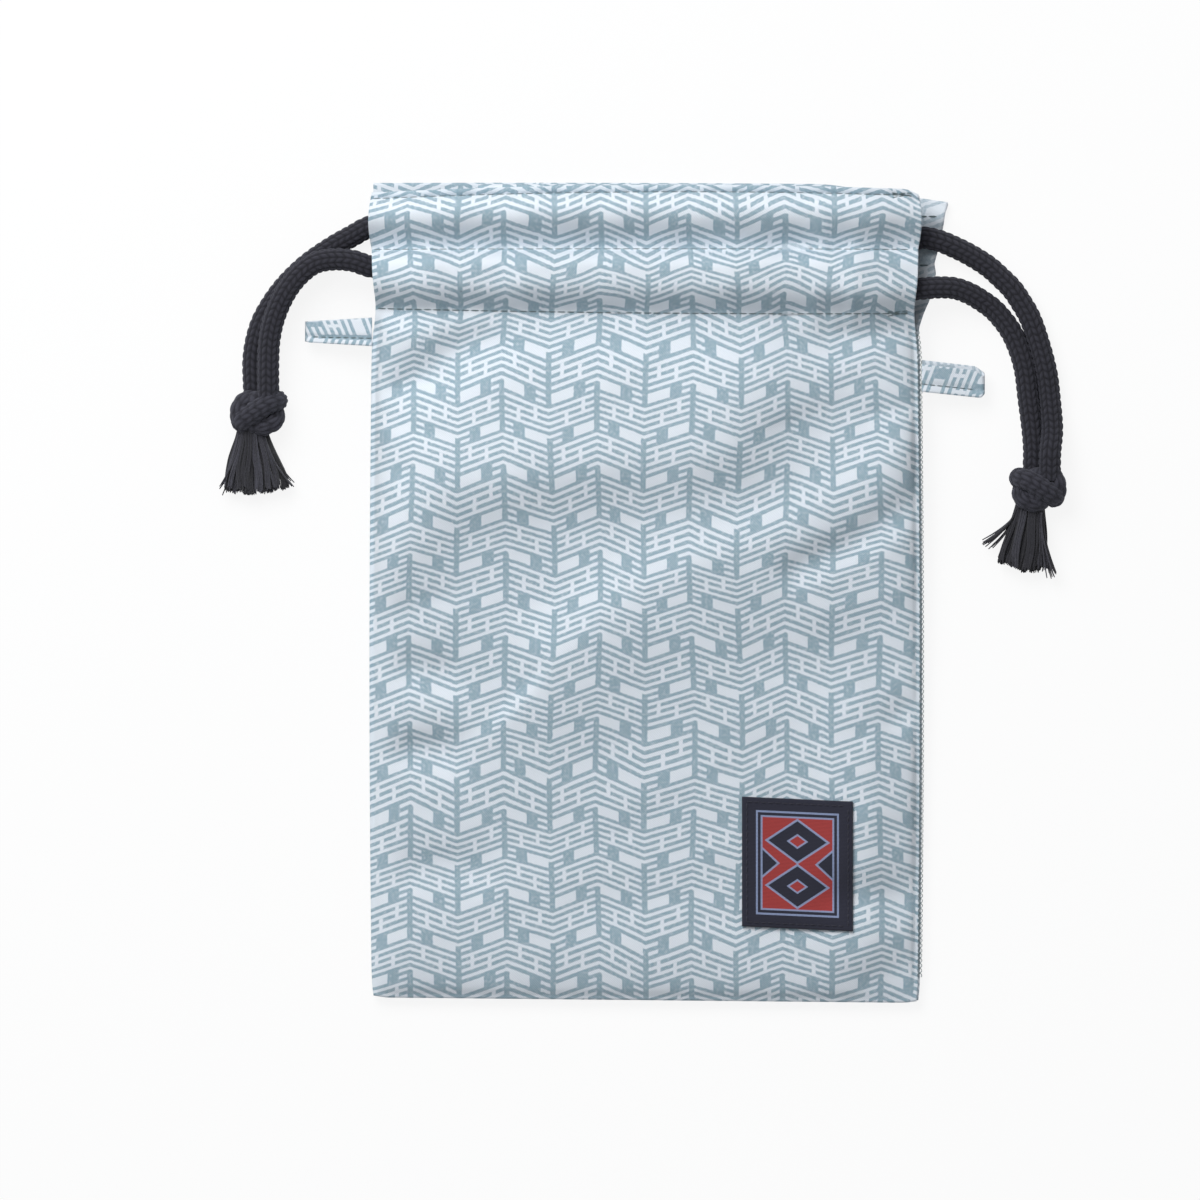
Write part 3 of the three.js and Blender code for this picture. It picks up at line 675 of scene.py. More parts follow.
# waves in the cloth and in how the print lies: rise, seed, count, then shortest and longest wave
clothWaves = dict(
    swell=(0.26, 5, 9, 18, 46), crease=(0.07, 6, 10, 7, 14), hemCrease=(0.16, 7, 8, 9, 22),
    hemGather=(0.30, 8, 6, 16, 40), innerHem=(0.06, 41, 6, 8, 20),
    printAcross=(0.7, 51, 5, 45, 110), printAlong=(0.9, 52, 6, 30, 90),
    hemPrintAcross=(0.35, 53, 6, 12, 30), hemPrintAlong=(0.4, 54, 6, 10, 26),
)
# gathers beside the lower, upper and top sewn lines: the wave along the line, then how far it reaches
puckers = (((0.36, 31, 6, 5, 13), 6), ((0.42, 32, 6, 5, 13), 7), ((0.24, 33, 6, 5, 13), 4))
wrinkles = dict(hemFrom=2.0, hemTo=3.0, gatherStretch=0.35, rounding=9.0, least=0.15, printEase=4.0)
# how the side edges bow, and how the corners and the mouth's right end are eased
sideBulge = dict(heading=1.1, waist=1.2, waistReach=8.0, bow=0.7)
corners = dict(
    start=78.0, end=85.5, reach=4.0, leftIn=0.6, rightIn=0.6, leftUp=0.6, rightUp=0.5, foldAskew=1.7,
    askewReach=30.0, mouthStart=79.0, mouthHeights=(246.0, 253.0), mouthDrop=1.5, backTo=200.0,
)


# parabola through the heights at the two sides and the middle
def lineHeight(heights, x):
    left, middle, right = heights
    across = x / pouch["halfWidth"]
    return middle + (right - left) / 2 * across + ((left + right) / 2 - middle) * across ** 2


# a sewn line's height as a function of the side distance
def sewnLine(heights):
    return lambda x: lineHeight(heights, x)


frontLines = [lambda x: 0 * x] + [sewnLine(line) for line in (lowerStitch, upperStitch, topStitch, frontTop)]


# flat over the middle and falling to the sewn lines: one minus the offset to a power, where the share of
# the way up is first raised to the lean, which moves the crest upwards
def puff(height, low, high, rise, power, lean=1.0):
    share = np.clip((height - low) / (high - low), 0, 1) ** lean
    return rise * (1 - np.abs(2 * share - 1) ** power)


# half a pillow: nought on the seams and the fold, one over the middle
def pillow(across, height, rounding):
    span = np.minimum(np.abs(across) / (1 - pouch["seamWidth"] / pouch["halfWidth"]), 1)
    foot = 1 - np.clip((height - pouch["seamWidth"]) / rounding, 0, 1)
    return np.sqrt(1 - span ** pouch["sidePower"]) * np.sqrt(1 - foot ** pouch["footPower"])


# bump along a broken line: rise times a bell curve of the distance from its nearest piece, whose width
# goes smoothly from the left side's to the right side's as the line is crossed
def foldRise(x, height, folds):
    total = np.zeros(np.broadcast(x, height).shape)
    for points, rise, leftWidth, rightWidth in folds:
        distance, side = np.full(total.shape, 1e6), np.zeros(total.shape)
        corner = np.array(points, dtype=float)
        for start, end in zip(corner[:-1], corner[1:]):
            run = end - start
            offX, offY = x - start[0], height - start[1]
            share = np.clip((offX * run[0] + offY * run[1]) / (run @ run), 0, 1)
            here = np.hypot(offX - share * run[0], offY - share * run[1])
            across = (run[0] * offY - run[1] * offX) / np.hypot(*run)
            side = np.where(here < distance, across, side)
            distance = np.minimum(distance, here)
        width = lerp(rightWidth, leftWidth, smoothStep(side, -foldTurn, foldTurn))
        total += rise * np.exp(-(distance / width) ** 2)
    return total


# rise times a sum of plane sine waves of drawn directions and lengths
def crumple(x, y, wave):
    rise, seed, count, shortest, longest = wave
    dice = np.random.default_rng(seed)
    turn = dice.uniform(0, np.pi, count)
    length = dice.uniform(shortest, longest, count)
    phase = dice.uniform(0, 2 * np.pi, count)
    waves = [np.sin(2 * np.pi * (x * np.cos(t) + y * np.sin(t)) / s + p)
             for t, s, p in zip(turn, length, phase)]
    return rise * (np.sum(waves, axis=0) / np.sqrt(count))


# how far the side edge bows out: half sines up the heading and the body, less a bell at the lower line
def sideLobe(x, height):
    lower, upper, top = [frontLines[i](x) for i in (1, 2, 4)]
    heading = np.sin(np.pi * np.clip((height - upper) / (top - upper), 0, 1))
    waist = np.exp(-((height - lower) / sideBulge["waistReach"]) ** 2)
    bow = np.sin(np.pi * np.minimum(height / pouch["slitEnd"], 1))
    return sideBulge["heading"] * heading - sideBulge["waist"] * waist + sideBulge["bow"] * bow


# the side seams come up a little towards the slits, where the cords prop the mouth
def seamRise(height):
    return pouch["seamRise"] * smoothStep(height, pouch["seamRiseFrom"], pouch["slitEnd"])


# the body's pillow and the puffed hem, blended from the slit's end to the lower sewn line
def frontSurface(x, height, across):
    p = pouch
    seam = p["seamHeight"] + seamRise(height)
    loft = lerp(p["footLoft"], p["mouthLoft"], smoothStep(height, 0, p["loftRun"]))
    slack = smoothStep(x, p["slackFrom"], p["halfWidth"]) * smoothStep(height, *p["slackHeights"])
    loft = loft * (1 - p["rightSlack"] * slack)
    body = (loft - seam + foldRise(x, height, softFolds)) * pillow(across, height, p["foldRound"])
    body = body + seam + p["seamLap"] / 2 + p["wall"] / 2
    lower, upper, stitch, top = [line(x) for line in frontLines[1:]]
    channel = puff(height, lower, upper, p["channelRise"], p["channelPower"], p["channelLean"])
    heading = puff(height, upper, stitch, p["headingPuff"], p["headingPower"], p["headingLean"])
    roll = puff(height, stitch, top + p["edgePast"], p["edgeRoll"], p["edgePower"])
    pastTurn = cords["turnStart"] + cords["diameter"] / 2
    droop = p["slitDroop"] * smoothStep(np.abs(x), pastTurn, p["halfWidth"] + p["droopPast"])
    flatter = 1 - p["rightEnd"] * smoothStep(x, p["hemEnd"], p["halfWidth"])
    ridge = foldRise(x, height, cordRidges)
    hem = p["frontStitchTop"] + (channel + heading) * flatter + roll - droop + ridge
    share = smoothStep(height, p["slitEnd"], p["slitEnd"] + p["slitBlend"])
    shareInside = smoothStep(height, lower - p["hemApproach"], lower)
    corner = smoothStep(np.abs(x), *p["cornerEase"])
    return lerp(body, hem, lerp(shareInside, share, corner))


# small folds and waves, gathers that fade away from the sewn lines, and more waves in the hem, all of
# them held down towards the seams
def frontWrinkles(x, height, across):
    sewn = [line(x) for line in frontLines[1:4]]
    total = foldRise(x, height, smallFolds)
    total = total + crumple(x, height, clothWaves["swell"]) + crumple(x, height, clothWaves["crease"])
    for line, (wave, reach) in zip(sewn, puckers):
        total = total + crumple(x, np.zeros_like(x), wave) * np.exp(-np.abs(height - line) / reach)
    hem = smoothStep(height, sewn[0] - wrinkles["hemFrom"], sewn[0] + wrinkles["hemTo"])
    gather = crumple(x, wrinkles["gatherStretch"] * height, clothWaves["hemGather"])
    total = total + hem * (crumple(x, height, clothWaves["hemCrease"]) + gather)
    return total * np.minimum(1, pillow(across, height, wrinkles["rounding"]) + wrinkles["least"])


# the fold lies askew, higher towards the left, with eased corners; the mouth's right end comes down
def cornerShift(x, height):
    c = corners
    left, right = [smoothStep(way * x, c["start"], c["end"]) ** 2 for way in (-1, 1)]
    low = np.exp(-np.maximum(height, 0) / c["reach"])
    askew = c["foldAskew"] * np.clip(0.5 - x / (2 * pouch["halfWidth"]), 0, 1)
    askew = askew * np.exp(-np.maximum(height, 0) / c["askewReach"])
    mouth = smoothStep(height, *c["mouthHeights"]) * smoothStep(x, c["mouthStart"], c["end"]) ** 2
    inward = (c["leftIn"] * left - c["rightIn"] * right) * low
    upward = askew + (c["leftUp"] * left + c["rightUp"] * right) * low - c["mouthDrop"] * mouth
    return inward, upward


# shares of the half width, closer together towards the sides: a sine of even steps
def spread(columns):
    share = np.linspace(-1, 1, columns)
    return np.sin(panels["sideCrowd"] * share) / math.sin(panels["sideCrowd"])


# heights of the rows up the cloth: even shares of the way from each line to the next, where a power
# crowds the first stretch's rows at its foot
def rowHeights(lines, counts, x, crowd=1.0):
    heights = []
    for i, count in enumerate(counts):
        share = np.linspace(0, 1, count, endpoint=i == len(counts) - 1)[:, None]
        share = share ** crowd if i == 0 else share
        heights.append(lerp(lines[i](x), lines[i + 1](x), share))
    return np.concatenate(heights)


# the print lies a little askew on the laid cloth, more so in the hem
def printPlaces(x, height):
    names = ("printAcross", "printAlong", "hemPrintAcross", "hemPrintAlong")
    across, along, hemAcross, hemAlong = [crumple(x, height, clothWaves[name]) for name in names]
    ease = wrinkles["printEase"]
    hem = smoothStep(height, lowerStitch[1] - ease, lowerStitch[1] + ease)
    return np.stack([x + across + hem * hemAcross, height + along + hem * hemAlong], axis=-1)


# shares of the half width, side distances and heights over a panel's grid
def panelPlaces(lines, columns, counts, crowd):
    across = spread(columns)
    height = rowHeights(lines, counts, across * pouch["halfWidth"], crowd)
    across = np.broadcast_to(across, height.shape)
    return across, across * pouch["halfWidth"], height


# the front's surface and wrinkles, with its sides bowed and its corners eased
def frontGrid():
    size = panels["frontColumns"], panels["frontRows"], panels["frontCrowd"]
    across, x, height = panelPlaces(frontLines, *size)
    high = frontSurface(x, height, across) + frontWrinkles(x, height, across)
    inward, upward = cornerShift(x, height)
    edge = across * (pouch["halfWidth"] + sideLobe(x, height)) + inward
    return np.stack([edge, foldY + height + upward, high], axis=-1), printPlaces(x, height)


# the back's right end sinks along a smooth step
def backSink(x):
    return pouch["flapDrop"] * smoothStep(x, pouch["hemEnd"], pouch["halfWidth"] + pouch["flapReach"])


backLines = [
    lambda x: 0 * x + pouch["seamLap"],
    lambda x: 0 * x + lowerStitch[1] + pouch["backLift"] - backSink(x),
    lambda x: 0 * x + upperStitch[1] + pouch["backLift"] - backSink(x),
    lambda x: lineHeight(backTop, x) - backSink(x),
]

# how far the back's right edge shows past the front, by height above the fold, and how its flap lies
flapEdge = dict(
    height=(208, 210, 213, 218, 227, 230, 233, 241, 245.5, 248.2),
    reach=(0.0, 0.7, 1.9, 3.8, 5.1, 4.5, 5.4, 6.1, 6.8, 8.0), reachFrom=0.7,
    corner=2.4, cornerFrom=0.93, cornerHeights=(244, 252), pressedAt=236.5, pressedReach=5.0,
    wave=1.0, waveLength=10.5, waveFrom=0.9, waveHeights=(211, 216),
    stitched=(244.6, 229.4), stitchRun=(0.92, 0.995),
)


# the back's side edge, with the flap added towards the right
def backEdge(across, height):
    reach = np.interp(height, flapEdge["height"], flapEdge["reach"])
    flap = smoothStep(across, flapEdge["reachFrom"], 1) * reach
    lobe = sideLobe(across * pouch["halfWidth"], height)
    return across * (pouch["halfWidth"] + lobe) + pouch["backSeamReach"] + flap


# the flap's corner turns up, and waves run up its edge, pressed flat by a bell where the cord lies
def flapRise(across, height):
    f = flapEdge
    corner = smoothStep(across, f["cornerFrom"], 1) * smoothStep(height, *f["cornerHeights"])
    pressed = 1 - np.exp(-((height - f["pressedAt"]) / f["pressedReach"]) ** 2)
    ripple = pressed * (1 + np.sin(2 * np.pi * height / f["waveLength"]))
    waves = f["wave"] * ripple * smoothStep(across, f["waveFrom"], 1) * smoothStep(height, *f["waveHeights"])
    return f["corner"] * corner + waves


# the back lies flat, and its edges rise to the seams and the fold
def backGrid():
    p = pouch
    size = panels["backColumns"], panels["backRows"], panels["backCrowd"]
    across, x, height = panelPlaces(backLines, *size)
    rounding = 1 - np.minimum(pillow(across, height, p["foldRound"] / 2) / p["flatFrom"], 1)
    seam = p["seamHeight"] + seamRise(height) + p["seamLap"] / 2 - p["wall"]
    low = seam * rounding * (1 - smoothStep(height, *p["backEase"]))
    inward, upward = cornerShift(x, np.minimum(height, corners["backTo"]))
    edge = backEdge(across, height) + inward
    places = np.stack([edge, foldY + height + upward, low + flapRise(across, height)], axis=-1)
    return places[:, ::-1], printPlaces(x, -height)[:, ::-1]  # turned so that its outside faces down


# the turned-in layers: a flat one with small ripples under the front's channel, and one over the back's
# that puffs between its sewn lines
def hemGrids():
    p = pouch
    x = np.linspace(-1, 1, panels["hemColumns"]) * p["hemEnd"]
    height = rowHeights([frontLines[1], frontLines[4]], panels["frontHemRows"], x)[:-1] - p["seamLap"]
    flatX = np.broadcast_to(x, height.shape)
    ripple = np.abs(crumple(flatX, height, clothWaves["innerHem"]))
    front = np.stack([flatX, foldY + height, p["frontHemLow"] + p["innerGap"] + ripple], axis=-1)
    lines = [backLines[1], backLines[2], lambda v: backLines[3](v) - p["seamLap"]]
    height = rowHeights(lines, panels["backHemRows"], x)
    flatX = np.broadcast_to(x, height.shape)
    lower, upper, top = [line(flatX) for line in lines]
    rise = puff(height, lower, upper, p["channelRise"], p["channelPower"])
    rise = rise + puff(height, upper, top, p["backHeadingPuff"], p["headingPower"])
    back = np.stack([flatX, foldY + height, 2 * p["wall"] - p["seamLap"] + rise], axis=-1)
    return (front[:, ::-1], front[:, ::-1, :2]), (back, back[..., :2])


# the grids become one mesh; the hem shows its right side on the inside too
def clothMesh(name, grids):
    places, quads = joined([(grid.reshape(-1, 3), gridQuads(*grid.shape[:2])) for grid, uv in grids])
    uvs = np.concatenate([uv.reshape(-1, 2) for grid, uv in grids])
    piece = meshPiece(name, places, quads, cottonFace, uvs)
    for material in (cottonBack, cottonFace, cottonFace):
        piece.data.materials.append(material)
    middle = places[quads].mean(axis=1)
    turnedIn = (middle[:, 1] > foldY + pouch["turnedInFrom"]) & (middle[:, 0] < pouch["turnedInEnd"])
    piece.data.polygons.foreach_set("material_index", np.where(turnedIn, 2, 0).astype(np.int32))
    return piece


# the wall grows inwards from the surface
def thicken(piece, wall):
    solid = piece.modifiers.new("clothThickness", "SOLIDIFY")
    solid.thickness = wall * mm
    solid.offset = -1
    solid.use_even_offset = False
    solid.material_offset = 1
    solid.use_rim = True


frontHemGrid, backHemGrid = hemGrids()
pouchCloth = clothMesh("pouch_cloth", [frontGrid(), backGrid(), frontHemGrid, backHemGrid])
thicken(pouchCloth, pouch["wall"])
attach(pouchCloth, "pouch")
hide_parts("pouch_body")
print("pouch cloth sewn")

# side tabs, folded from a strip and caught in the side seams
tabs = dict(
    width=8.6, layerGap=0.7, seamGap=0.45, wallShare=0.9, tipDrop=1.2, fall=0.4, belly=0.16, groove=0.5,
    grooveWidth=0.9, seamAt=-1.84, topFrom=0.82, footFrom=0.9, footStart=1.2, steps=30, turnSteps=11,
    columns=15, seamColumn=4,
)
leftTabShape = dict(
    height=208.7, length=20.8, taper=0.28, slope=0.0, skew=0.3, printAt=1.7, tipTop=0.0, tipFoot=0.2,
)
rightTabShape = dict(
    height=195.0, length=19.6, taper=0.03, slope=0.11, skew=1.3, printAt=7.25, tipTop=1.5, tipFoot=1.1,
)


# profile of a folded strip: out along the top, round a half circle at the tip and back underneath; the
# tip's upper corner sinks and its lower corner rises along smooth steps, and a bell dips along the seam
def foldedTab(name, side, shape):
    t = tabs
    steps = t["steps"]
    half = t["width"] / 2
    outer = pouch["wall"] + t["layerGap"] / 2
    straight = shape["length"] - outer
    turn = np.linspace(np.pi / 2, -np.pi / 2, t["turnSteps"])
    out = np.concatenate([np.linspace(0, straight, steps, endpoint=False), straight + outer * np.cos(turn),
                          np.linspace(straight, 0, steps + 1)[1:]])
    level = np.concatenate([np.full(steps, outer), outer * np.sin(turn), np.full(steps, -outer)])
    run = lengths(np.stack([out, level, 0 * out], axis=1))
    lobe = sideLobe(np.array(side * pouch["halfWidth"]), np.array(shape["height"]))
    base = pouch["halfWidth"] + float(lobe) + (pouch["backSeamReach"] if side > 0 else 0) + t["seamGap"]
    width = np.linspace(-0.5, 0.5, t["columns"])[None, :] * t["width"]
    share = (out / shape["length"])[:, None]
    under = smoothStep(-level, -outer, outer)[:, None]
    y = foldY + shape["height"] + width * (1 - shape["taper"] * share) - shape["slope"] * out[:, None]
    y = y + shape["skew"] * (under - 0.5)
    y = y - shape["tipTop"] * smoothStep(share, t["topFrom"], 1.0) * smoothStep(width, 0, half)
    foot = smoothStep(share, t["footFrom"], 1.0) ** 2 * smoothStep(-width, t["footStart"], half)
    y = y + shape["tipFoot"] * foot
    belly = t["belly"] * np.cos(np.pi * width / t["width"]) * np.sign(level)[:, None] * (1 - share)
    groove = t["groove"] * np.exp(-((width - t["seamAt"]) / t["grooveWidth"]) ** 2) * (1 - under)
    seam = pouch["seamHeight"] + seamRise(shape["height"]) * (1 - t["fall"] * smoothStep(share, 0, 1))
    z = seam + level[:, None] - t["tipDrop"] * share + belly - groove
    x = np.broadcast_to(side * (base + out)[:, None], y.shape)
    places = np.stack([x, y, z], axis=-1)
    uv = np.stack(np.broadcast_arrays(width + shape["printAt"], run[:, None]), axis=-1)
    seamLine = places[:steps, t["seamColumn"]]
    if side > 0:
        places, uv = places[:, ::-1], uv[:, ::-1]
    piece = meshPiece(name, places, gridQuads(*places.shape[:2]), cottonFace, uv)
    piece.data.materials.append(cottonBack)
    thicken(piece, pouch["wall"] * t["wallShare"])
    return piece, seamLine


leftTab, leftTabSeam = foldedTab("folded_tab_left", -1, leftTabShape)
rightTab, rightTabSeam = foldedTab("folded_tab_right", 1, rightTabShape)
for tab, name in ((leftTab, "left"), (rightTab, "right")):
    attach(tab, "pouch")
    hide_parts(f"tab_{name}")
print("tabs folded")

# woven label
label = dict(
    width=34.5, height=40.4, middle=(47.4, 43.2), slope=0.045, wall=0.8, gap=0.45, wrinkleShare=0.5,
    edgePower=24, edgeSink=0.25, columns=61, rows=71,
)
labelLook = dict(
    navy=(0.016, 0.017, 0.032, 1), red=(0.40, 0.045, 0.040, 1), pale=(0.34, 0.42, 0.66, 1),
    frameHalf=(12.6, 15.9), line=0.6, lineStep=1.45, lozenge=(9.6, 6.7), lozengeAt=7.0, lozengeRim=0.06,
    heart=0.30, heartRim=0.05, sideLozenge=(5.2, 4.6), sideAt=11.1, sideRim=0.09, pitch=0.42,
    fleckScale=2.2, lineFleck=(0.7, 0.45), fleckShare=0.35, fleckRise=1.5,
)


# nought in the middle of a lozenge and one on its edge: the sum of its two offsets by their half lengths
def lozengeField(tree, offX, offY, halves):
    return calc(tree, "ADD", calc(tree, "DIVIDE", offX, halves[0]), calc(tree, "DIVIDE", offY, halves[1]))


# distance measures for a rectangle and for lozenges drive the colours from the edge inwards
def wovenLabel():
    look = labelLook
    material, tree, shader = newMaterial("wovenLabel", roughness=0.8, sheen=0.15)
    place, across, along = uvPlace(tree)
    absX, absY = calc(tree, "ABSOLUTE", across), calc(tree, "ABSOLUTE", along)
    inFrame = calc(tree, "MAXIMUM", calc(tree, "SUBTRACT", absX, look["frameHalf"][0]),
                   calc(tree, "SUBTRACT", absY, look["frameHalf"][1]))
    outerLine = calc(tree, "COMPARE", inFrame, 0.0, look["line"] / 2)
    innerLine = calc(tree, "COMPARE", inFrame, -look["lineStep"], look["line"] / 2)
    field = calc(tree, "LESS_THAN", inFrame, -look["lineStep"])
    offY = calc(tree, "ABSOLUTE", calc(tree, "SUBTRACT", absY, look["lozengeAt"]))
    lozenge = lozengeField(tree, absX, offY, look["lozenge"])
    offX = calc(tree, "ABSOLUTE", calc(tree, "SUBTRACT", absX, look["sideAt"]))
    sideLozenge = lozengeField(tree, offX, absY, look["sideLozenge"])
    shape = calc(tree, "LESS_THAN", calc(tree, "MINIMUM", lozenge, sideLozenge), 1.0)
    heart = calc(tree, "LESS_THAN", lozenge, look["heart"])
    rim = calc(tree, "COMPARE", lozenge, 1.0, look["lozengeRim"])
    rim = calc(tree, "MAXIMUM", rim, calc(tree, "COMPARE", lozenge, look["heart"], look["heartRim"]))
    rim = calc(tree, "MAXIMUM", rim, calc(tree, "COMPARE", sideLozenge, 1.0, look["sideRim"]))
    colour = mixColour(tree, field, look["navy"], look["red"])
    colour = mixColour(tree, shape, colour, look["navy"])
    colour = mixColour(tree, heart, colour, look["red"])
    lines = calc(tree, "MAXIMUM", outerLine, innerLine)
    lines = calc(tree, "MAXIMUM", lines, calc(tree, "MULTIPLY", rim, field))
    rib = calc(tree, "SINE", calc(tree, "MULTIPLY", along, 2 * math.pi / look["pitch"]))
    fleck = noiseField(tree, place, look["fleckScale"], detail=3.0)
    broken = calc(tree, "MULTIPLY", lines, calc(tree, "MULTIPLY_ADD", fleck, *look["lineFleck"]))
    colour = mixColour(tree, broken, colour, look["pale"])
    colour = mixColour(tree, calc(tree, "MULTIPLY", fleck, look["fleckShare"]), colour, look["navy"])
    tree.links.new(colour, shader.inputs["Base Color"])
    ribs = calc(tree, "MULTIPLY_ADD", fleck, look["fleckRise"], rib)
    bumpOn(tree, shader, ribs, distance=0.05, strength=0.7)
    return material


# the label follows the cloth under it at half its wrinkles, and its edges sink by a high power
def labelPlaces(across, up, lift):
    x = label["middle"][0] + across * label["width"] / 2
    height = label["middle"][1] + up * label["height"] / 2 - label["slope"] * (x - label["middle"][0])
    side = x / pouch["halfWidth"]
    base = frontSurface(x, height, side) + frontWrinkles(x, height, side) * label["wrinkleShare"]
    edge = np.maximum(np.abs(across), np.abs(up)) ** label["edgePower"]
    z = base + label["gap"] + lift - label["edgeSink"] * edge
    return np.stack([x, foldY + height, z], axis=-1)


across, up = np.meshgrid(np.linspace(-1, 1, label["columns"]), np.linspace(-1, 1, label["rows"]))
labelGrid = labelPlaces(across, up, label["wall"])
labelUv = np.stack([across * label["width"] / 2, up * label["height"] / 2], axis=-1)
labelPatch = meshPiece("woven_label", labelGrid, gridQuads(*labelGrid.shape[:2]), wovenLabel(), labelUv)
thicken(labelPatch, label["wall"])
labelPatch.modifiers["clothThickness"].material_offset = 0
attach(labelPatch, "pouch")
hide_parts("label")
print("label woven")

# sewing: each stitch is a short thread that rises from the cloth and dips back into it; the kinds give
# their length, gap and thread radius
sewing = dict(
    rings=7, sides=6, sink=0.16, rise=0.2, endShare=0.6, run=(-0.992, 0.992), points=500,
    tackRun=(0.90, 0.985), tackShifts=((-0.8, 0.5), (0.7, -0.4), (0.3, 0.9)), labelInset=1.5,
    seam=(2.6, 0.42, 0.2), tack=(2.0, 0.3, 0.16), flap=(2.6, 0.42, 0.26), overcast=(3.1, -0.1, 0.14),
    tab=(1.9, 0.5, 0.17), label=(1.7, 0.5, 0.19),
)
overcast = dict(reach=0.68, pitch=3.1, lift=0.7, out=0.35, run=(8, 211), points=1600)
upward = np.array([0, 0, 1.0])


# places along the line are cut into stitches; height over the cloth is sink to rise along the root of a
# half sine
def stitchRow(line, kind):
    length, gap, radius = sewing[kind]
    run = lengths(line)
    count = max(int(run[-1] / (length + gap)), 1)
    share = np.linspace(0, 1, sewing["rings"])[None, :]
    at = np.arange(count)[:, None] * (length + gap) + share * length
    centre = np.stack([np.interp(at, run, line[:, i]) for i in range(3)], axis=-1)
    arch = np.sin(np.pi * share) ** 0.5
    centre = centre + upward * lerp(-sewing["sink"], sewing["rise"], arch)[..., None]
    return threadTubes(centre, upward, radius * lerp(sewing["endShare"], 1.0, arch), sewing["sides"])


# all rows as one piece on the pouch
def stitchPiece(name, rows, material):
    piece = meshPiece(name, *joined(rows), material)
    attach(piece, "pouch")
    return piece


# a sewn line on the front's surface, moved up or down by the shift at its two ends
def frontLine(heights, run, shift=(0.0, 0.0)):
    across = np.linspace(*run, sewing["points"])
    x = across * pouch["halfWidth"]
    height = lineHeight(heights, x) + np.linspace(*shift, sewing["points"])
    z = frontSurface(x, height, across) + frontWrinkles(x, height, across)
    return np.stack([across * (pouch["halfWidth"] + sideLobe(x, height)), foldY + height, z], axis=1)


rows = [stitchRow(frontLine(line, sewing["run"]), "seam") for line in (lowerStitch, upperStitch, topStitch)]
for line in (lowerStitch, topStitch):  # back-tacks at the right ends
    for shift in sewing["tackShifts"]:
        rows.append(stitchRow(frontLine(line, sewing["tackRun"], shift), "tack"))
flapRun = np.linspace(*flapEdge["stitchRun"], 60)
for height in flapEdge["stitched"]:  # the back flap's own sewn lines
    level = 0 * flapRun + height
    flapZ = flapRise(flapRun, level) + pouch["wall"]
    rows.append(stitchRow(np.stack([backEdge(flapRun, level), foldY + level, flapZ], axis=1), "flap"))
seamRun = np.linspace(*overcast["run"], overcast["points"])
seamEdge = pouch["halfWidth"] + sideLobe(0 * seamRun + pouch["halfWidth"], seamRun)
seamZ = pouch["seamHeight"] + seamRise(seamRun) + overcast["lift"]
for turn in (0, np.pi):  # the overcast right seam: two threads that swing past each other
    swing = overcast["reach"] * np.sin(2 * np.pi * seamRun / overcast["pitch"] + turn)
    seamLine = np.stack([seamEdge + overcast["out"] + swing, foldY + seamRun, seamZ], axis=1)
    rows.append(stitchRow(seamLine, "overcast"))
clothStitches = stitchPiece("cloth_stitches", rows, sewingThread)

rows = [stitchRow(line, "tab") for line in (leftTabSeam, rightTabSeam)]
tabStitches = stitchPiece("tab_stitches", rows, sewingThread)

side = np.linspace(-1, 1, 120)
insetX, insetY = [1 - 2 * sewing["labelInset"] / label[size] for size in ("width", "height")]
borders = [(insetX * side, 0 * side + insetY), (insetX * side, 0 * side - insetY),
           (0 * side + insetX, insetY * side), (0 * side - insetX, insetY * side)]
rows = [stitchRow(labelPlaces(x, y, label["wall"]), "label") for x, y in borders]
labelStitches = stitchPiece("label_stitches", rows, labelThread)

print("stitches sewn")

# studio: pale floor, soft key from beyond the mouth, even fill
studio = dict(
    floorSize=6.0, floor=(0.88, 0.885, 0.89, 1), whiteShare=0.88, fill=0.36,
    fillColour=(0.97, 0.985, 1.0, 1), key=13.9, keySize=0.8, keyAt=(-0.40, 0.70, 0.95),
)


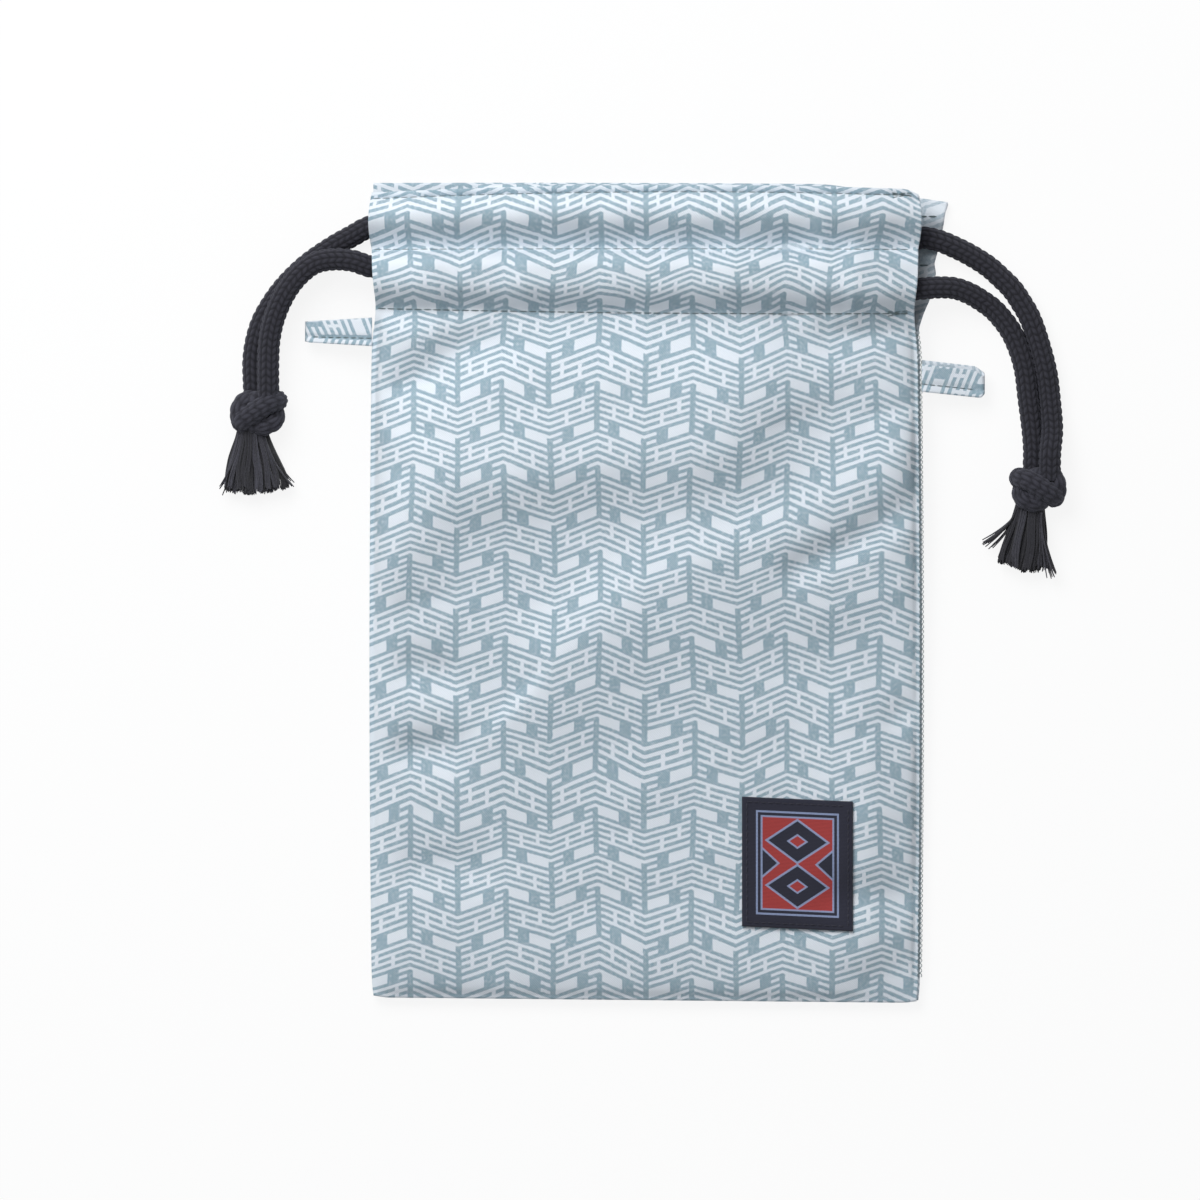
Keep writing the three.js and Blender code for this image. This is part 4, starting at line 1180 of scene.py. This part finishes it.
# one for rays from the camera, off a gloss or through glass, else nought
def seenDirectly(tree):
    path = tree.nodes.new("ShaderNodeLightPath")
    seen = calc(tree, "MAXIMUM", path.outputs["Is Camera Ray"], path.outputs["Is Glossy Ray"])
    return calc(tree, "MAXIMUM", seen, path.outputs["Is Transmission Ray"])


# first shader at a share of nought, second at one
def blendShaders(tree, share, first, second, output):
    blend = tree.nodes.new("ShaderNodeMixShader")
    for socket, value in zip(blend.inputs, (share, first.outputs[0], second.outputs[0])):
        tree.links.new(value, socket)
    tree.links.new(blend.outputs[0], tree.nodes[output].inputs["Surface"])


half = studio["floorSize"] / 2
floorCorners = [(-half, -half, 0), (half, -half, 0), (half, half, 0), (-half, half, 0)]
floorMesh = bpy.data.meshes.new("floor")
floorMesh.from_pydata(floorCorners, [], [(0, 1, 2, 3)])
floorPiece = bpy.data.objects.new("floor", floorMesh)
scene.collection.objects.link(floorPiece)
floorMaterial, tree, shader = newMaterial("paleFloor", roughness=0.9)
shader.inputs["Base Color"].default_value = studio["floor"]
glow = tree.nodes.new("ShaderNodeEmission")
whiteShare = calc(tree, "MULTIPLY", seenDirectly(tree), studio["whiteShare"])
blendShaders(tree, whiteShare, shader, glow, "Material Output")
floorMesh.materials.append(floorMaterial)

world = bpy.data.worlds.new("studio")
scene.world = world
world.use_nodes = True
tree = world.node_tree
even = tree.nodes["Background"]
even.inputs["Color"].default_value = studio["fillColour"]
even.inputs["Strength"].default_value = studio["fill"]
white = tree.nodes.new("ShaderNodeBackground")
white.inputs["Color"].default_value = (1, 1, 1, 1)
blendShaders(tree, seenDirectly(tree), even, white, "World Output")

lampData = bpy.data.lights.new("key", "AREA")
lampData.energy = studio["key"]
lampData.size = studio["keySize"]
lamp = bpy.data.objects.new("key", lampData)
lamp.location = studio["keyAt"]
aim = -np.array(studio["keyAt"])
tilt = math.atan2(math.hypot(aim[0], aim[1]), -aim[2])
lamp.rotation_euler = (tilt, 0, math.atan2(-aim[0], aim[1]))
scene.collection.objects.link(lamp)
print("studio lit")
